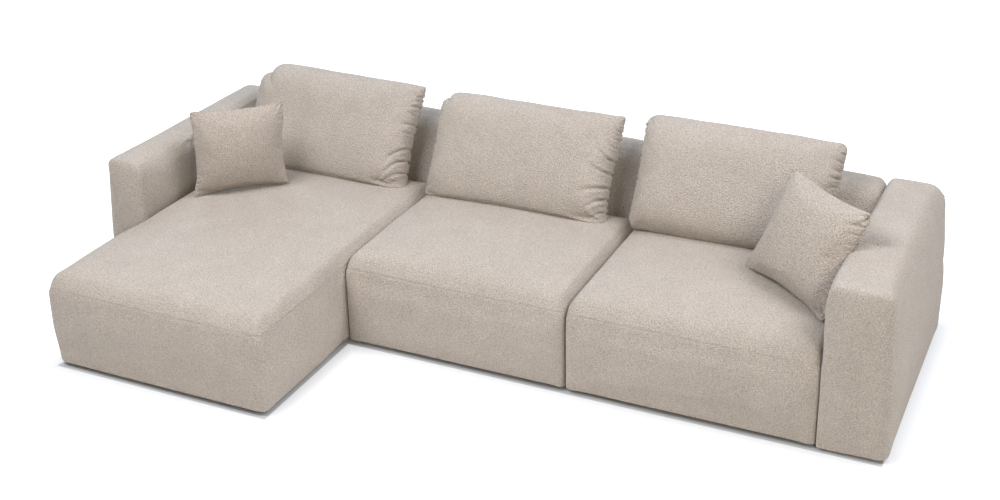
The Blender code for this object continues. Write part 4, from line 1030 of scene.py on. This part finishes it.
for module in MODULES:
    dress(seats[module], body_of(module), f"{module}_seat_cover", COVER, 50.0)
    dress(backs[module], body_of(module), f"{module}_back_cover", COVER, 50.0)
    name = f"{module}_back_cushion"
    dress(cushions[module], f"{name}_body", name, COVER, 75.0)
for side, module in ENDS.items():
    dress(arms[side], body_of(module), f"{side}_arm_cover", COVER, 50.0)
    name = f"{side}_throw_pillow"
    dress(pillows[side], f"{name}_body", name, PILLOW, 75.0)


# Floor, light and camera

PAPER = (0.43, 0.45, 0.475, 1.0)  # the part of the floor's white that the lamps light, which keeps the shadow
GLOW_IN_PAINTED_SHADE = 0.04  # what the camera sees of the paper's own white under the sofa, where it is kept this low: a painted shadow
PAINTED_HEM_SHADOW_LIFT = 0.40  # how much more of it just outside the covers' hems, where the painted shadow's dark line lifts
PAINTED_SOFT_SHADOW_LIFT = 0.42  # how much more of it past the soft shadow, whose fading is painted by this glow as well as cast by the lamps
FAR_GLOW = 0.30  # how much more of it further out than the lamps reach


def background_rays(tree):
    """1 for the rays that see the background: straight, in a gloss or through glass."""
    rays = add(tree, "LightPath").node.outputs
    seen = add(tree, "Math", "MAXIMUM", _0=rays["Is Camera Ray"], _1=rays["Is Glossy Ray"])
    return add(tree, "Math", "MAXIMUM", _0=seen, _1=rays["Is Transmission Ray"])


material = bpy.data.materials.new("studio_paper")
material.use_nodes = True
tree = material.node_tree
tree.nodes.clear()
spot = add(tree, "TexCoord").node.outputs["Object"]


def distance_to(tree, spot, low, high):
    """How far a spot on the floor is from a rectangle."""
    middle = [(low[k] + high[k]) / 2 for k in (0, 1)] + [0.0]
    half = [(high[k] - low[k]) / 2 for k in (0, 1)] + [1.0]
    away = add(tree, "VectorMath", "SUBTRACT", _0=spot, _1=middle)
    away = add(tree, "VectorMath", "ABSOLUTE", _0=away)
    away = add(tree, "VectorMath", "SUBTRACT", _0=away, _1=half)
    away = add(tree, "VectorMath", "MAXIMUM", _0=away, _1=(0.0, 0.0, 0.0))
    return add(tree, "VectorMath", "LENGTH", _0=away).node.outputs["Value"]


chaise = SPANS["chaise"]
row_left = chaise.left - ARM_BOXES["left"][1]
row_right = SPANS["right"].right + ARM_BOXES["right"][1] - 0.004  # the hem stands a little inside its box
# the sofa's footprint at its rest place, from which the painted shadow on the floor is measured
row = distance_to(tree, spot, (row_left, SEAT_FRONT_Y), (row_right, REAR_Y))
long_seat = distance_to(tree, spot, (chaise.left, chaise.front), (chaise.right, REAR_Y))
from_hem = add(tree, "Math", "MINIMUM", _0=row, _1=long_seat)
painted_shadow_glow = GLOW_IN_PAINTED_SHADE
# each glow's strength, and from how far and up to how far out it grows: together they paint a shadow round
# the sofa, dim under it and brightening outward
GLOW_RAMPS_PAINTING_SHADOW = ((PAINTED_HEM_SHADOW_LIFT, 0.0, 0.009), (PAINTED_SOFT_SHADOW_LIFT, 0.0, 0.16), (FAR_GLOW, 0.30, 2.2))
for glow_gain, reach_in, reach_out in GLOW_RAMPS_PAINTING_SHADOW:
    gain = add(tree, "MapRange", {"interpolation_type": "SMOOTHSTEP"}, Value=from_hem,
               From_Min=reach_in, From_Max=reach_out, To_Min=0.0, To_Max=glow_gain)
    painted_shadow_glow = add(tree, "Math", "ADD", _0=painted_shadow_glow, _1=gain)
lit = add(tree, "BsdfDiffuse", Color=PAPER)
# the glow's strength carries the painted shadow; the lamps' real shadow falls on the lit paper beside it
glow = add(tree, "Emission", Color=(1.0, 1.0, 1.0, 1.0), Strength=painted_shadow_glow)
paper = add(tree, "AddShader", _0=lit, _1=glow)
plain = add(tree, "BsdfDiffuse", Color=(0.85, 0.85, 0.85, 1.0))
both = add(tree, "MixShader", _0=background_rays(tree), _1=plain, _2=paper)
add(tree, "OutputMaterial", Surface=both)
floor = new_piece("floor", [(-30, -30, 0), (30, -30, 0), (30, 30, 0), (-30, 30, 0)], [(0, 1, 2, 3)])
floor.data.materials.append(material)

world = bpy.data.worlds.new("studio")
bpy.context.scene.world = world
world.use_nodes = True
tree = world.node_tree
tree.nodes.clear()
soft = add(tree, "Background", Color=(1.0, 0.95, 0.90, 1.0), Strength=0.015)
white = add(tree, "Background", Color=(1.0, 1.0, 1.0, 1.0), Strength=1.0)
both = add(tree, "MixShader", _0=background_rays(tree), _1=soft, _2=white)
add(tree, "OutputWorld", Surface=both)

AIM = (0.3, 0.0, 0.3)  # what every lamp is turned to, near the middle of the seats
for name, place, size, watts, colour in (
    ("over_chaise", (-1.5, -2.5, 4.5), (3.0, 2.0), 226.0, (1.0, 0.98, 0.98)),
    ("overhead_right", (3.2, 0.0, 4.5), (3.0, 3.0), 174.0, (0.93, 0.93, 1.0)),
    ("front_right", (5.0, -5.0, 4.0), (3.0, 2.5), 162.0, (1.0, 0.91, 0.69)),
    ("rear_left", (-4.0, 3.0, 3.5), (2.5, 2.0), 84.0, (0.68, 0.87, 1.0)),
    ("rear", (0.5, 5.0, 4.5), (5.0, 2.5), 70.0, (0.76, 0.88, 1.0)),
):
    lamp = bpy.data.lights.new(name, "AREA")
    lamp.shape = "RECTANGLE"
    lamp.size, lamp.size_y = size
    lamp.energy = watts
    lamp.color = colour
    thing = put(name, lamp)
    thing.location = place
    thing.rotation_euler = (Vector(AIM) - Vector(place)).to_track_quat("-Z", "Y").to_euler()

camera_data = bpy.data.cameras.new("photo_view")
camera_data.sensor_width = 36.0
camera_data.lens = 52.78
camera_data.shift_y = -0.1001
camera_data.clip_end = 100.0
camera = put("photo_view", camera_data)
camera.location = (2.4242, -4.9427, 3.1452)
turned, down, tipped = 25.213, 22.306, -0.876
turn = rotation(turned, "Z") @ rotation(90.0 - down, "X") @ rotation(tipped, "Z")
camera.rotation_euler = turn.to_euler()
bpy.context.scene.camera = camera
bpy.context.scene.view_settings.view_transform = "Standard"
